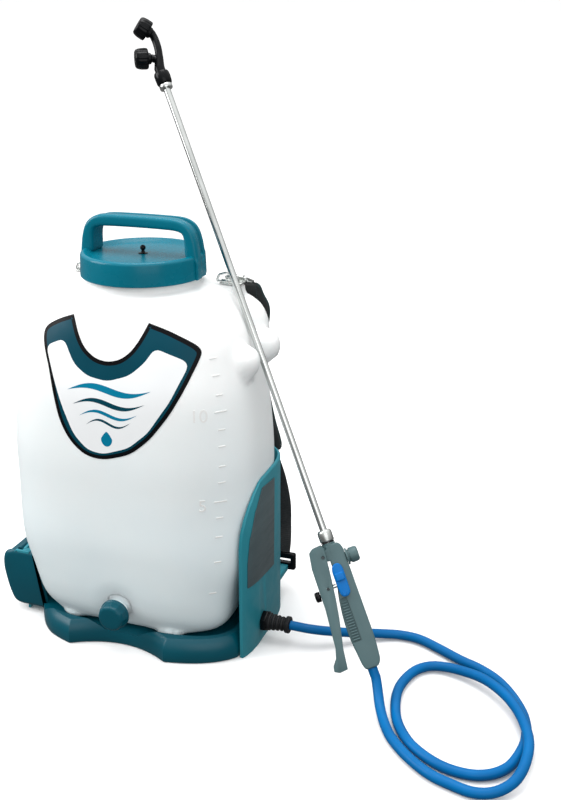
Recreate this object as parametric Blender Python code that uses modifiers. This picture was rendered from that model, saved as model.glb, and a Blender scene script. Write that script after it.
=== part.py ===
"""Cordless backpack sprayer: tank, cap, base, housing, pump, straps, hose, gun, lance and twin nozzle.

Metres, +Z up. The origin lies on the floor, under the axis of the filler neck.
+X is the right side of the label face, the label faces -Y and the wearer's back is at +Y.
"""

from math import cos, pi, radians, sin, sqrt

import bmesh
import bpy
from mathutils import Matrix, Vector

# Fits
GAP = 0.0003
SLIDE = 0.0004
ROUND = 32

# Tank
TANK_HALF_WIDTH = 0.1485
TANK_FRONT = -0.1117
TANK_REAR = 0.0850
TANK_BOTTOM = 0.0165
TANK_TOP = 0.4140
TANK_WALL = 0.0025
TANK_POWER = 3.2
LOWER_REAR = 0.0200
REST_FRONT = (TANK_HALF_WIDTH - 0.0185, -0.0270, TANK_TOP - 0.0710)
REST_REAR = (TANK_HALF_WIDTH - 0.0155, 0.0330, TANK_TOP - 0.0730)
REST_RADIUS = 0.0190
STEP_REACH = 0.0415
STEP_RISE = 0.0455
STEP_MIDDLE = TANK_TOP - 0.0580
STEP_TOP = STEP_MIDDLE + STEP_RISE

# Filler neck, strainer and cap
NECK_RADIUS = 0.0645
NECK_BORE = NECK_RADIUS - 0.0040
NECK_TOP = TANK_TOP + 0.0290
SEAL_THICK = 0.0015
STRAINER_DEPTH = 0.0450
STRAINER_WALL = 0.0015
CAP_RADIUS = NECK_RADIUS + 0.0065
CAP_SKIRT = 0.0030
CAP_RIM = NECK_TOP - 0.0154
CAP_TOP = NECK_TOP + 0.0115
CAP_PLATE = 0.0032
HANDLE_TOP = CAP_TOP + 0.0395
HANDLE_HALF = CAP_RADIUS + 0.0014
HANDLE_BAR = 0.0135
HANDLE_LEG = 0.0165
HANDLE_DEPTH = 0.0280
EAR_DEPTH = 0.0500
VENT_RADIUS = 0.0040

# Drain
DRAIN_HEIGHT = 0.0500
DRAIN_RADIUS = 0.0170
DRAIN_NECK = 0.0100
DRAIN_BORE = 0.0060
DRAIN_FACE = TANK_FRONT - 0.0153
DRAIN_DEPTH = 0.0150
DRAIN_FACETS = 12

# Base tray
BASE_LIP = 0.0270
BASE_FLOOR = 0.0160
FOOT_HALF = 0.0610
FOOT_FRONT = TANK_FRONT - 0.0058
SCALLOP_DEPTH = 0.0185
LEFT_SIDE = -(TANK_HALF_WIDTH - 0.0185)

# Housing round the pump, and its battery bay
HOUSING_WALL = 0.0030
HOUSING_GAP = 0.0006
HOUSING_TOP = 0.2075
HOUSING_POWER = 4.0
PANEL_FRONT = -0.0790
PANEL_CORNER_Y = 0.0580
PANEL_CORNER_Z = 0.0680
LEFT_PANEL_FRONT = -0.0300
PLATE_THICK = 0.0010
BAY_FRONT = -0.0580
BAY_REAR = 0.0475
BAY_TOP = 0.0775
BAY_FLOOR = 0.0110
COVER_OUT = TANK_HALF_WIDTH + 0.0290
COVER_WALL = 0.0025
COVER_FRONT = -0.0640
COVER_REAR = 0.0530
COVER_HINGE_X = -(TANK_HALF_WIDTH + 0.0075)
COVER_HINGE_Z = 0.0800
COVER_BEAD = 0.0033
PIN_RADIUS = 0.0015
BATTERY_LOW = 0.0270
BATTERY_SIZE = (0.0300, 0.0960, 0.0420)
DIAL_Y = -0.0050
DIAL_HEIGHT = 0.1450
DIAL_RADIUS = 0.0180
DIAL_THICK = 0.0110
STEM_RADIUS = 0.0040

# Pump drive
PUMP_SIZE = (0.0480, 0.0460, 0.0500)
PUMP_X = TANK_HALF_WIDTH - 0.0745
PUMP_Y = 0.0540
MOTOR_RADIUS = 0.0180
MOTOR_LENGTH = 0.0600
SHAFT_RADIUS = 0.0030
CAM_RADIUS = 0.0085
CAM_OFFSET = 0.0020
CAM_CHAMBER = 0.0130
CONTROLLER_SIZE = (0.0550, 0.0280, 0.0320)
PORT_RADIUS = 0.0060
PORT_BORE = 0.0040
SUCTION_Z = 0.0400
DELIVERY_RADIUS = 0.0045

# Hose and its gland
GLAND_Y = -0.0300
GLAND_Z = 0.0240
GLAND_END = TANK_HALF_WIDTH + 0.0377
GLAND_RADIUS = 0.0105
GLAND_NUT = 0.0130
HOSE_RADIUS = 0.0055
# Points of the hose, with x counted from the tank's side
HOSE_ROUTE = (
    (0.0380, -0.0300, 0.0240), (0.0635, -0.0280, 0.0225), (0.0895, -0.0170, 0.0180),
    (0.1145, -0.0010, 0.0120), (0.1385, 0.0130, 0.0078), (0.1605, 0.0205, 0.0060),
    (0.1835, 0.0185, 0.0060), (0.2101, 0.0057, 0.0060), (0.2364, -0.0088, 0.0060),
    (0.2625, -0.0205, 0.0060), (0.2864, -0.0385, 0.0060), (0.3069, -0.0662, 0.0060),
    (0.3219, -0.0984, 0.0060), (0.3270, -0.1340, 0.0060), (0.3205, -0.1710, 0.0060),
    (0.3090, -0.1910, 0.0060), (0.2922, -0.2022, 0.0060), (0.2729, -0.2047, 0.0060),
    (0.2522, -0.2005, 0.0060), (0.2305, -0.1885, 0.0060), (0.2115, -0.1710, 0.0060),
    (0.1945, -0.1430, 0.0060), (0.1850, -0.1089, 0.0060), (0.1835, -0.0790, 0.0060),
    (0.1915, -0.0490, 0.0060), (0.2060, -0.0335, 0.0063), (0.2245, -0.0310, 0.0075),
    (0.2465, -0.0365, 0.0098), (0.2710, -0.0500, 0.0135), (0.2970, -0.0765, 0.0170),
    (0.3175, -0.1085, 0.0180), (0.3310, -0.1467, 0.0178), (0.3325, -0.1800, 0.0150),
    (0.3255, -0.2065, 0.0105), (0.3097, -0.2240, 0.0075), (0.2895, -0.2295, 0.0062),
    (0.2665, -0.2245, 0.0060), (0.2445, -0.2165, 0.0060), (0.2200, -0.1990, 0.0060),
    (0.1970, -0.1750, 0.0060), (0.1835, -0.1535, 0.0070), (0.1740, -0.1345, 0.0112),
    (0.1675, -0.1195, 0.0195),
)

# Wand: gun, lance and nozzle, in a frame of its own that stands on the gun's tail
WAND_TAIL = Vector((TANK_HALF_WIDTH + 0.1568, -0.1061, 0.0400))
WAND_REST = Vector((TANK_HALF_WIDTH - 0.0044, -0.0053, 0.3430))
WAND_SIDE = Vector((-0.8515, -0.4204, -0.3131))
BODY_THICK = 0.0145
CHANNEL_WALL = 0.0020
CHANNEL_GAP = 0.0006
LEVER_WEB = 0.0030
COLLAR_BASE = 0.1432
PIVOT = (0.0105, COLLAR_BASE - 0.0148)
LINK = (0.0165, 0.0948)
ROD_RADIUS = 0.0022
LATCH_PIN = (0.0014, 0.0850)
LATCH_THICK = 0.0045
KNOB_RADIUS = 0.0058
KNOB_S = 0.0894
PLUG_RADIUS = 0.0085
PLUG_S = COLLAR_BASE - 0.0224
COLLAR_HEIGHT = 0.0128
COLLAR_RADIUS = 0.0080
LANCE_RADIUS = 0.0040
LANCE_START = COLLAR_BASE - 0.0027
LANCE_END = 0.6880
UNION_RADIUS = 0.0090
UNION_HEIGHT = 0.0150
HEAD_RADIUS = 0.0120
HEAD_DEPTH = 0.0150
SPIGOT_RADIUS = 0.0065

# Straps and their steel fittings
LUG_X = TANK_HALF_WIDTH - 0.0585
LUG_Y = 0.0420
LUG_TOP = TANK_TOP - 0.0005
LUG_RADIUS = 0.0130
BRACKET_SIZE = (0.0260, 0.0220, 0.0020)
RING_WIRE = 0.0014
STRAP_WIDTH = 0.0360
STRAP_THICK = 0.0050
PAD_WIDTH = 0.0500
PAD_THICK = 0.0110
PAD_X = LUG_X + 0.0025
ANCHOR_X = TANK_HALF_WIDTH - 0.0175
ANCHOR_Z = 0.0290
BUCKLE_Y = TANK_REAR + 0.0035
BUCKLE_HALF = 0.0210
BACK_PAD_HALF = 0.0600
BACK_PAD_LOW = 0.2180
BACK_PAD_HIGH = TANK_TOP - 0.0540
BACK_PAD_THICK = 0.0120

TEAL = (0.0, 0.155, 0.185, 1.0)
CREAM = (0.80, 0.82, 0.80, 1.0)
BLACK = (0.012, 0.012, 0.013, 1.0)
GREY = (0.17, 0.20, 0.20, 1.0)
STEEL = (0.62, 0.62, 0.60, 1.0)
BLUE = (0.0, 0.145, 0.42, 1.0)


def clear_scene():
    for obj in list(bpy.data.objects):
        bpy.data.objects.remove(obj)


def collection_named(name):
    made = bpy.data.collections.new(name)
    bpy.context.scene.collection.children.link(made)
    return made


def material_of(name, colour, roughness, metallic=0.0):
    made = bpy.data.materials.new(name)
    made.use_nodes = True
    shader = made.node_tree.nodes["Principled BSDF"]
    shader.inputs["Base Color"].default_value = colour
    shader.inputs["Roughness"].default_value = roughness
    shader.inputs["Metallic"].default_value = metallic
    return made


clear_scene()
PARTS = collection_named("backpack_sprayer")
CUTTERS = collection_named("cutters")


def object_of(bm, name="helper"):
    """A mesh object from a bmesh, in the helpers' collection until it is kept as a part."""
    bmesh.ops.recalc_face_normals(bm, faces=bm.faces)
    if bm.calc_volume(signed=True) < 0:
        bmesh.ops.reverse_faces(bm, faces=bm.faces)
    mesh = bpy.data.meshes.new(name)
    bm.to_mesh(mesh)
    bm.free()
    obj = bpy.data.objects.new(name, mesh)
    CUTTERS.objects.link(obj)
    obj.hide_render = True
    obj.display_type = "WIRE"
    return obj


def keep(obj, name, material, pivot=None):
    """Makes a helper a named part, with its origin on its joint axis where it has one."""
    CUTTERS.objects.unlink(obj)
    PARTS.objects.link(obj)
    obj.hide_render = False
    obj.display_type = "TEXTURED"
    obj.name = name
    obj.data.name = name
    obj.data.materials.clear()
    obj.data.materials.append(material)
    if pivot is not None:
        obj.data.transform(Matrix.Translation(-Vector(pivot)))
        obj.location = pivot
    return obj


def baked(obj):
    """The object with its modifiers and its matrix put into its mesh."""
    bpy.context.view_layer.update()
    graph = bpy.context.evaluated_depsgraph_get()
    mesh = bpy.data.meshes.new_from_object(obj.evaluated_get(graph))
    mesh.transform(obj.matrix_world)
    bm = bmesh.new()
    bm.from_mesh(mesh)
    bmesh.ops.remove_doubles(bm, verts=bm.verts, dist=1e-6)
    bpy.data.meshes.remove(mesh)
    bpy.data.objects.remove(obj)
    return object_of(bm)


def boolean(target, other, operation):
    modifier = target.modifiers.new(operation.lower(), "BOOLEAN")
    modifier.operation = operation
    modifier.solver = "EXACT"
    modifier.object = other


def joined(target, *others):
    for other in others:
        boolean(target, other, "UNION")
    return target


def cut(target, *others):
    for other in others:
        boolean(target, other, "DIFFERENCE")
    return target


def bevelled(obj, width, segments=2, angle=30):
    modifier = obj.modifiers.new("bevel", "BEVEL")
    modifier.width = width
    modifier.segments = segments
    modifier.limit_method = "ANGLE"
    modifier.angle_limit = radians(angle)
    return obj


def box(low, high):
    bm = bmesh.new()
    bmesh.ops.create_cube(bm, size=1.0)
    size = Vector(high) - Vector(low)
    middle = (Vector(high) + Vector(low)) / 2
    bm.transform(Matrix.Translation(middle) @ Matrix.Diagonal((*size, 1.0)))
    return object_of(bm)


def along(start, end):
    """A matrix that puts local Z on the way from start to end, with its middle between them."""
    start = Vector(start)
    end = Vector(end)
    turn = (end - start).to_track_quat("Z", "Y").to_matrix().to_4x4()
    return Matrix.Translation((start + end) / 2) @ turn


def rod(start, end, radius, tip=None, sides=ROUND):
    bm = bmesh.new()
    bmesh.ops.create_cone(
        bm, cap_ends=True, segments=sides, radius1=radius,
        radius2=radius if tip is None else tip,
        depth=(Vector(end) - Vector(start)).length,
    )
    bm.transform(along(start, end))
    return object_of(bm)


def ball(centre, radii, across=16, rows=8):
    bm = bmesh.new()
    bmesh.ops.create_uvsphere(bm, u_segments=across, v_segments=rows, radius=1.0)
    bm.transform(Matrix.Translation(centre) @ Matrix.Diagonal((*radii, 1.0)))
    return object_of(bm)


def turned(profile, matrix=None, steps=ROUND):
    """A profile of (radius, height) from top to bottom on the outside, turned about local Z."""
    mesh = bpy.data.meshes.new("profile")
    edges = [(i, i + 1) for i in range(len(profile) - 1)]
    if profile[0][0] > 0 and profile[-1][0] > 0:
        edges.append((len(profile) - 1, 0))
    mesh.from_pydata([(r, 0.0, z) for r, z in profile], edges, [])
    obj = bpy.data.objects.new("profile", mesh)
    CUTTERS.objects.link(obj)
    screw = obj.modifiers.new("screw", "SCREW")
    screw.axis = "Z"
    screw.steps = steps
    screw.render_steps = steps
    screw.use_merge_vertices = True
    screw.merge_threshold = 1e-5
    if matrix is not None:
        obj.matrix_world = matrix
    return baked(obj)


def plate(points, thick, matrix, bevel=0.0, segments=2):
    """A flat outline with half its thickness on each side of the local XY plane."""
    data = bpy.data.curves.new("outline", "CURVE")
    data.dimensions = "2D"
    data.fill_mode = "BOTH"
    data.extrude = thick / 2
    spline = data.splines.new("POLY")
    spline.points.add(len(points) - 1)
    for point, (x, y) in zip(spline.points, points):
        point.co = (x, y, 0.0, 1.0)
    spline.use_cyclic_u = True
    obj = bpy.data.objects.new("outline", data)
    CUTTERS.objects.link(obj)
    obj.matrix_world = matrix
    made = baked(obj)
    if bevel:
        made = baked(bevelled(made, bevel, segments))
    return made


def smooth_route(points, count):
    """Evenly spaced points on a Catmull-Rom curve through hand-chosen points."""
    points = [Vector(p) for p in points]
    ends = [2 * points[0] - points[1], *points, 2 * points[-1] - points[-2]]
    fine = []
    for a, b, c, d in zip(ends, ends[1:], ends[2:], ends[3:]):
        for i in range(12):
            t = i / 12
            fine.append(0.5 * (2 * b + (c - a) * t + (2 * a - 5 * b + 4 * c - d) * t * t
                               + (3 * b - a - 3 * c + d) * t ** 3))
    fine.append(points[-1])
    reach = [0.0]
    for p, q in zip(fine, fine[1:]):
        reach.append(reach[-1] + (q - p).length)
    made = []
    at = 0
    for i in range(count):
        want = reach[-1] * i / (count - 1)
        while at < len(fine) - 2 and reach[at + 1] < want:
            at += 1
        span = reach[at + 1] - reach[at]
        made.append(fine[at].lerp(fine[at + 1], min(1.0, (want - reach[at]) / span)))
    return made


def tube(points, radius, resolution=2, cyclic=False):
    data = bpy.data.curves.new("tube", "CURVE")
    data.dimensions = "3D"
    data.bevel_depth = radius
    data.bevel_resolution = resolution
    data.use_fill_caps = not cyclic
    spline = data.splines.new("POLY")
    spline.points.add(len(points) - 1)
    for point, co in zip(spline.points, points):
        point.co = (*co, 1.0)
    spline.use_cyclic_u = cyclic
    obj = bpy.data.objects.new("tube", data)
    CUTTERS.objects.link(obj)
    return baked(obj)


def loft(rings):
    """A closed solid through rings of equal count, with a face on the first and the last."""
    bm = bmesh.new()
    made = [[bm.verts.new(p) for p in ring] for ring in rings]
    for low, high in zip(made, made[1:]):
        for i in range(len(low)):
            j = (i + 1) % len(low)
            bm.faces.new((low[i], low[j], high[j], high[i]))
    bm.faces.new(made[0])
    bm.faces.new(made[-1])
    return object_of(bm)


def rounded_section(z, half, front, rear, count=40, power=TANK_POWER):
    """A ring between an ellipse and a rectangle, level at height z."""
    middle = (front + rear) / 2
    deep = (rear - front) / 2
    ring = []
    for i in range(count):
        t = 2 * pi * i / count
        c = cos(t)
        s = sin(t)
        x = half * abs(c) ** (2 / power) * (1 if c >= 0 else -1)
        y = deep * abs(s) ** (2 / power) * (1 if s >= 0 else -1)
        ring.append(Vector((x, middle + y, z)))
    return ring


def round_section(z, radius, count=40):
    return rounded_section(z, radius, -radius, radius, count, 2.0)


MILKY = material_of("milky_tank", CREAM, 0.35)
CASE = material_of("teal_case", TEAL, 0.30)
RUBBER = material_of("black_rubber", BLACK, 0.60)
DARK = material_of("black_plastic", BLACK, 0.40)
DIECAST = material_of("diecast_grey", GREY, 0.40, 0.2)
BRIGHT = material_of("bright_steel", STEEL, 0.20, 1.0)
HOSE_BLUE = material_of("hose_blue", BLUE, 0.45)
WEBBING = material_of("strap_webbing", BLACK, 0.85)
FOAM = material_of("strap_foam", BLACK, 0.90)
WHITE = material_of("white_plastic", (0.75, 0.76, 0.75, 1.0), 0.45)
PLATE = material_of("grey_plate", (0.10, 0.11, 0.12, 1.0), 0.50)


def tank_sections(inset):
    """Rings of the tank from its bottom to its shoulder, drawn in by the inset."""
    half = TANK_HALF_WIDTH
    front = TANK_FRONT
    table = (
        (TANK_BOTTOM + inset, half - 0.0365, front + 0.0267, LOWER_REAR - 0.0100),
        (TANK_BOTTOM + 0.0045 + inset, half - 0.0265, front + 0.0187, LOWER_REAR - 0.0060),
        (TANK_BOTTOM + 0.0195, half - 0.0205, front + 0.0127, LOWER_REAR - 0.0020),
        (TANK_BOTTOM + 0.0435, half - 0.0185, front + 0.0067, LOWER_REAR),
        (TANK_BOTTOM + 0.0635, half - 0.0145, front + 0.0042, LOWER_REAR + 0.0020),
        (TANK_BOTTOM + 0.0935, half - 0.0080, front + 0.0017, LOWER_REAR + 0.0060),
        (TANK_BOTTOM + 0.1195, half - 0.0035, front, TANK_REAR - 0.0350),
        (TANK_BOTTOM + 0.1585, half, front, TANK_REAR - 0.0020),
        (TANK_BOTTOM + 0.1835, half, front, TANK_REAR),
        (TANK_BOTTOM + 0.2275, half - 0.0010, front, TANK_REAR),
        (TANK_TOP - 0.1060, half - 0.0085, front + 0.0047, TANK_REAR),
        (TANK_TOP - 0.0660, half - 0.0185, front + 0.0137, TANK_REAR - 0.0020),
        (TANK_TOP - 0.0420, half - 0.0260, front + 0.0217, TANK_REAR - 0.0040),
        (TANK_TOP - 0.0260 - inset, half - 0.0360, front + 0.0287, TANK_REAR - 0.0070),
        (TANK_TOP - 0.0100 - inset, half - 0.0510, front + 0.0357, TANK_REAR - 0.0120),
        (TANK_TOP - inset, half - 0.0685, front + 0.0437, TANK_REAR - 0.0170),
    )
    return [rounded_section(z, a - inset, f + inset, r - inset) for z, a, f, r in table]


def make_tank():
    outer = tank_sections(0.0)
    outer += [round_section(TANK_TOP + 0.0020, NECK_RADIUS), round_section(NECK_TOP, NECK_RADIUS)]
    inner = tank_sections(TANK_WALL)
    inner += [round_section(TANK_TOP - 0.0005, NECK_BORE), round_section(NECK_TOP, NECK_BORE)]
    tank = loft(outer + inner[::-1])
    for centre in (REST_FRONT, REST_REAR):
        joined(tank, ball(centre, (REST_RADIUS * 0.9, REST_RADIUS, REST_RADIUS)))
    for side in (-1, 1):
        shoulder = (side * LUG_X, LUG_Y + 0.0070, STEP_MIDDLE)
        joined(tank, ball(shoulder, (STEP_REACH, 0.0300, STEP_RISE), 24, 14))
        lug = (side * LUG_X, LUG_Y)
        joined(tank, rod((*lug, STEP_TOP - 0.0160), (*lug, LUG_TOP), LUG_RADIUS, sides=24))
    cut(tank, loft(tank_sections(TANK_WALL + 0.0006)))
    spout = (0.0, TANK_FRONT + 0.0110, DRAIN_HEIGHT)
    joined(tank, rod(spout, (0.0, DRAIN_FACE + DRAIN_DEPTH - 0.0060, DRAIN_HEIGHT), DRAIN_NECK))
    mouth = (0.0, TANK_FRONT - 0.0183, DRAIN_HEIGHT)
    cut(tank, rod((0.0, TANK_FRONT + 0.0217, DRAIN_HEIGHT), mouth, DRAIN_BORE))
    port = (PUMP_X, LOWER_REAR - 0.0075, SUCTION_Z)
    joined(tank, rod(port, (PUMP_X, LOWER_REAR + 0.0040, SUCTION_Z), PORT_RADIUS, sides=24))
    cut(tank, rod((PUMP_X, 0.0, SUCTION_Z), (PUMP_X, 0.05, SUCTION_Z), PORT_BORE, sides=24))
    keep(tank, "tank", MILKY)


def make_filler():
    flange_low = NECK_TOP + GAP
    flange_top = flange_low + SEAL_THICK
    seal_low = flange_top + GAP
    seal_top = seal_low + SEAL_THICK
    ceiling = seal_top + GAP
    basket = NECK_BORE - SLIDE
    floor = NECK_TOP - STRAINER_DEPTH
    strainer = turned((
        (NECK_RADIUS, flange_top), (NECK_RADIUS, flange_low), (basket, flange_low),
        (basket - 0.0050, floor), (0.0, floor), (0.0, floor + STRAINER_WALL),
        (basket - 0.0050 - STRAINER_WALL, floor + STRAINER_WALL),
        (basket - STRAINER_WALL, flange_top),
    ))
    slot_low = floor + 0.0060
    for i in range(6):
        slot = box((-0.08, -0.0035, slot_low), (0.08, 0.0035, NECK_TOP - 0.0100))
        slot.rotation_euler = (0.0, 0.0, pi * i / 6)
        cut(strainer, slot)
    keep(strainer, "strainer_basket", WHITE)
    seal = turned((
        (NECK_RADIUS + 0.0015, seal_top), (NECK_RADIUS + 0.0015, seal_low),
        (NECK_BORE - 0.0010, seal_low), (NECK_BORE - 0.0010, seal_top),
    ))
    keep(seal, "cap_gasket", RUBBER)

    bore = CAP_RADIUS - CAP_SKIRT
    plate_top = ceiling + CAP_PLATE
    cap = turned((
        (0.0, plate_top), (CAP_RADIUS - 0.0130, plate_top), (CAP_RADIUS - 0.0100, CAP_TOP - 0.0005),
        (CAP_RADIUS - 0.0060, CAP_TOP), (CAP_RADIUS - 0.0025, CAP_TOP - 0.0015),
        (CAP_RADIUS - 0.0010, CAP_TOP - 0.0050), (CAP_RADIUS, CAP_RIM + 0.0010),
        (CAP_RADIUS - 0.0005, CAP_RIM), (0.0, CAP_RIM),
    ), steps=40)
    for side in (-1, 1):
        near = side * (CAP_RADIUS - 0.0120)
        far = side * HANDLE_HALF
        low = (min(near, far), -EAR_DEPTH / 2, CAP_RIM)
        high = (max(near, far), EAR_DEPTH / 2, CAP_TOP)
        joined(cap, baked(bevelled(box(low, high), 0.0025)))
    leg = HANDLE_HALF - HANDLE_LEG
    under = HANDLE_TOP - HANDLE_BAR
    arch = [
        (HANDLE_HALF - 0.0030, CAP_TOP - 0.0040), (HANDLE_HALF - 0.0040, HANDLE_TOP - 0.0230),
        (HANDLE_HALF - 0.0070, HANDLE_TOP - 0.0130), (HANDLE_HALF - 0.0130, HANDLE_TOP - 0.0050),
        (HANDLE_HALF - 0.0220, HANDLE_TOP - 0.0010), (HANDLE_HALF - 0.0300, HANDLE_TOP),
    ]
    hollow = [
        (leg - 0.0060, under), (leg - 0.0015, under - 0.0025), (leg, under - 0.0070),
        (leg + 0.0005, CAP_TOP + 0.0010), (leg - 0.0040, CAP_TOP - 0.0040),
    ]
    right = arch[::-1]
    outline = [(-x, z) for x, z in arch] + right + [(x, z) for x, z in hollow[::-1]]
    outline += [(-x, z) for x, z in hollow]
    stand = Matrix.Rotation(pi / 2, 4, "X")
    handle = plate(outline, HANDLE_DEPTH, stand, 0.0035)
    joined(cap, handle)
    for side in (-1, 1):
        foot = (side * (leg - 0.0040), -HANDLE_DEPTH / 2 + 0.0040, plate_top - 0.0010)
        head = (side * (HANDLE_HALF - 0.0050), HANDLE_DEPTH / 2 - 0.0040, CAP_TOP + 0.0005)
        low = tuple(min(p, q) for p, q in zip(foot, head))
        high = tuple(max(p, q) for p, q in zip(foot, head))
        joined(cap, box(low, high))
    cut(cap, rod((0.0, 0.0, CAP_RIM - 0.01), (0.0, 0.0, ceiling), bore, sides=40))
    cut(cap, rod((0.0, 0.0, ceiling - 0.01), (0.0, 0.0, CAP_TOP), VENT_RADIUS + SLIDE, sides=20))
    keep(cap, "filler_cap", CASE, (0.0, 0.0, CAP_RIM))
    vent = turned((
        (0.0, plate_top + 0.0060), (VENT_RADIUS + 0.0010, plate_top + 0.0055),
        (VENT_RADIUS + 0.0020, plate_top + 0.0045), (VENT_RADIUS + 0.0020, plate_top + GAP),
        (VENT_RADIUS, plate_top + GAP), (VENT_RADIUS, ceiling + GAP), (0.0, ceiling + GAP),
    ), steps=24)
    keep(vent, "vent_valve", RUBBER)


def make_drain():
    way = Matrix.Translation((0.0, DRAIN_FACE, DRAIN_HEIGHT)) @ Matrix.Rotation(pi / 2, 4, "X")
    mouth = -(DRAIN_DEPTH - 0.0060)
    seal_low = mouth + GAP
    seal_top = seal_low + SEAL_THICK
    keep(turned((
        (0.0, seal_top), (DRAIN_NECK, seal_top), (DRAIN_NECK, seal_low), (0.0, seal_low),
    ), way, 24), "drain_seal", RUBBER)
    bore = DRAIN_NECK + 2 * SLIDE
    cap = turned((
        (0.0, 0.0), (DRAIN_RADIUS * 0.80, 0.0), (DRAIN_RADIUS * 0.93, -0.0015),
        (DRAIN_RADIUS, -0.0050), (DRAIN_RADIUS, -DRAIN_DEPTH + 0.0005),
        (DRAIN_RADIUS - 0.0010, -DRAIN_DEPTH), (bore, -DRAIN_DEPTH), (bore, seal_top + GAP),
        (0.0, seal_top + GAP),
    ), way, DRAIN_FACETS)
    keep(cap, "drain_cap", CASE, (0.0, DRAIN_FACE, DRAIN_HEIGHT))


def bent(start, middle, end, count):
    """Points of a quadratic bend between two points, first point left out."""
    made = []
    for i in range(1, count + 1):
        t = i / count
        made.append(tuple((1 - t) ** 2 * a + 2 * t * (1 - t) * b + t * t * c
                          for a, b, c in zip(start, middle, end)))
    return made


def housing_ring(z, offset, count=56):
    grow = HOUSING_GAP + offset
    half = TANK_HALF_WIDTH + grow
    return rounded_section(z, half, TANK_FRONT - grow, TANK_REAR + grow, count, HOUSING_POWER)


def make_base():
    inside = [(p.x, p.y) for p in housing_ring(0.0, -GAP)]
    rear = [p for p in inside if p[1] > PANEL_FRONT]
    right = [p for p in rear if p[0] > 0 and p[1] < 0.0]
    back = [p for p in rear if p[1] >= 0.0]
    foot_right = (FOOT_HALF, FOOT_FRONT)
    foot_left = (-FOOT_HALF, FOOT_FRONT)
    outline = [foot_left]
    outline += bent(foot_left, (0.0, FOOT_FRONT + 2 * SCALLOP_DEPTH), foot_right, 10)
    half = TANK_HALF_WIDTH
    outline += bent(foot_right, (half - 0.0305, -0.1080), (half - 0.0100, PANEL_FRONT - 0.0010), 6)
    outline += sorted(right, key=lambda p: p[1])
    outline += [p for p in back if p[0] > 0 or p[1] > BAY_REAR + 0.0040]
    outline += [(LEFT_SIDE - 0.0030, BAY_REAR + 0.0030), (LEFT_SIDE, BAY_REAR), (LEFT_SIDE, -0.0560)]
    outline += bent((LEFT_SIDE, -0.0560), (0.0365 - half, -0.0930), (0.0585 - half, -0.1060), 5)
    flat = Matrix.Translation((0.0, 0.0, BASE_LIP / 2))
    base = plate(outline, BASE_LIP, flat)
    pocket = rounded_section(0.0, TANK_HALF_WIDTH - 0.0195, TANK_FRONT + 0.0117, LOWER_REAR + 0.0010)
    level = Matrix.Translation((0.0, 0.0, BASE_FLOOR + 0.05))
    cut(base, plate([(p.x, p.y) for p in pocket], 0.10, level))
    far = half - 0.0335
    for low, high in ((-far, -0.015), (0.015, far)):
        cut(base, box((low, -0.080, -0.01), (high, 0.060, BASE_FLOOR - 0.0035)))
    notch_low = (half - 0.0155, GLAND_Y - 0.0160, GLAND_Z - 0.0140)
    cut(base, box(notch_low, (half + 0.0115, 0.0300, 0.06)))
    keep(base, "base_tray", CASE)


def housing_shell():
    top = HOUSING_TOP
    shell = loft([housing_ring(0.0, HOUSING_WALL), housing_ring(top - 0.0020, HOUSING_WALL),
                  housing_ring(top, HOUSING_WALL - 0.0015)])
    cut(shell, loft([housing_ring(-0.01, 0.0), housing_ring(top + 0.01, 0.0)]))
    side = Matrix(((0, 0, 1, 0), (1, 0, 0, 0), (0, 1, 0, 0), (0, 0, 0, 1)))
    corner = []
    for i in range(7):
        t = pi / 2 * i / 6
        corner.append((PANEL_FRONT + PANEL_CORNER_Y * (1 - cos(t)),
                       top - PANEL_CORNER_Z * (1 - sin(t)) + 0.0005))
    outline = [(-0.20, -0.01), (PANEL_FRONT, -0.01), *corner, (-0.015, 0.25), (-0.20, 0.25)]
    cut(shell, plate(outline, 0.5, side))
    return shell


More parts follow.
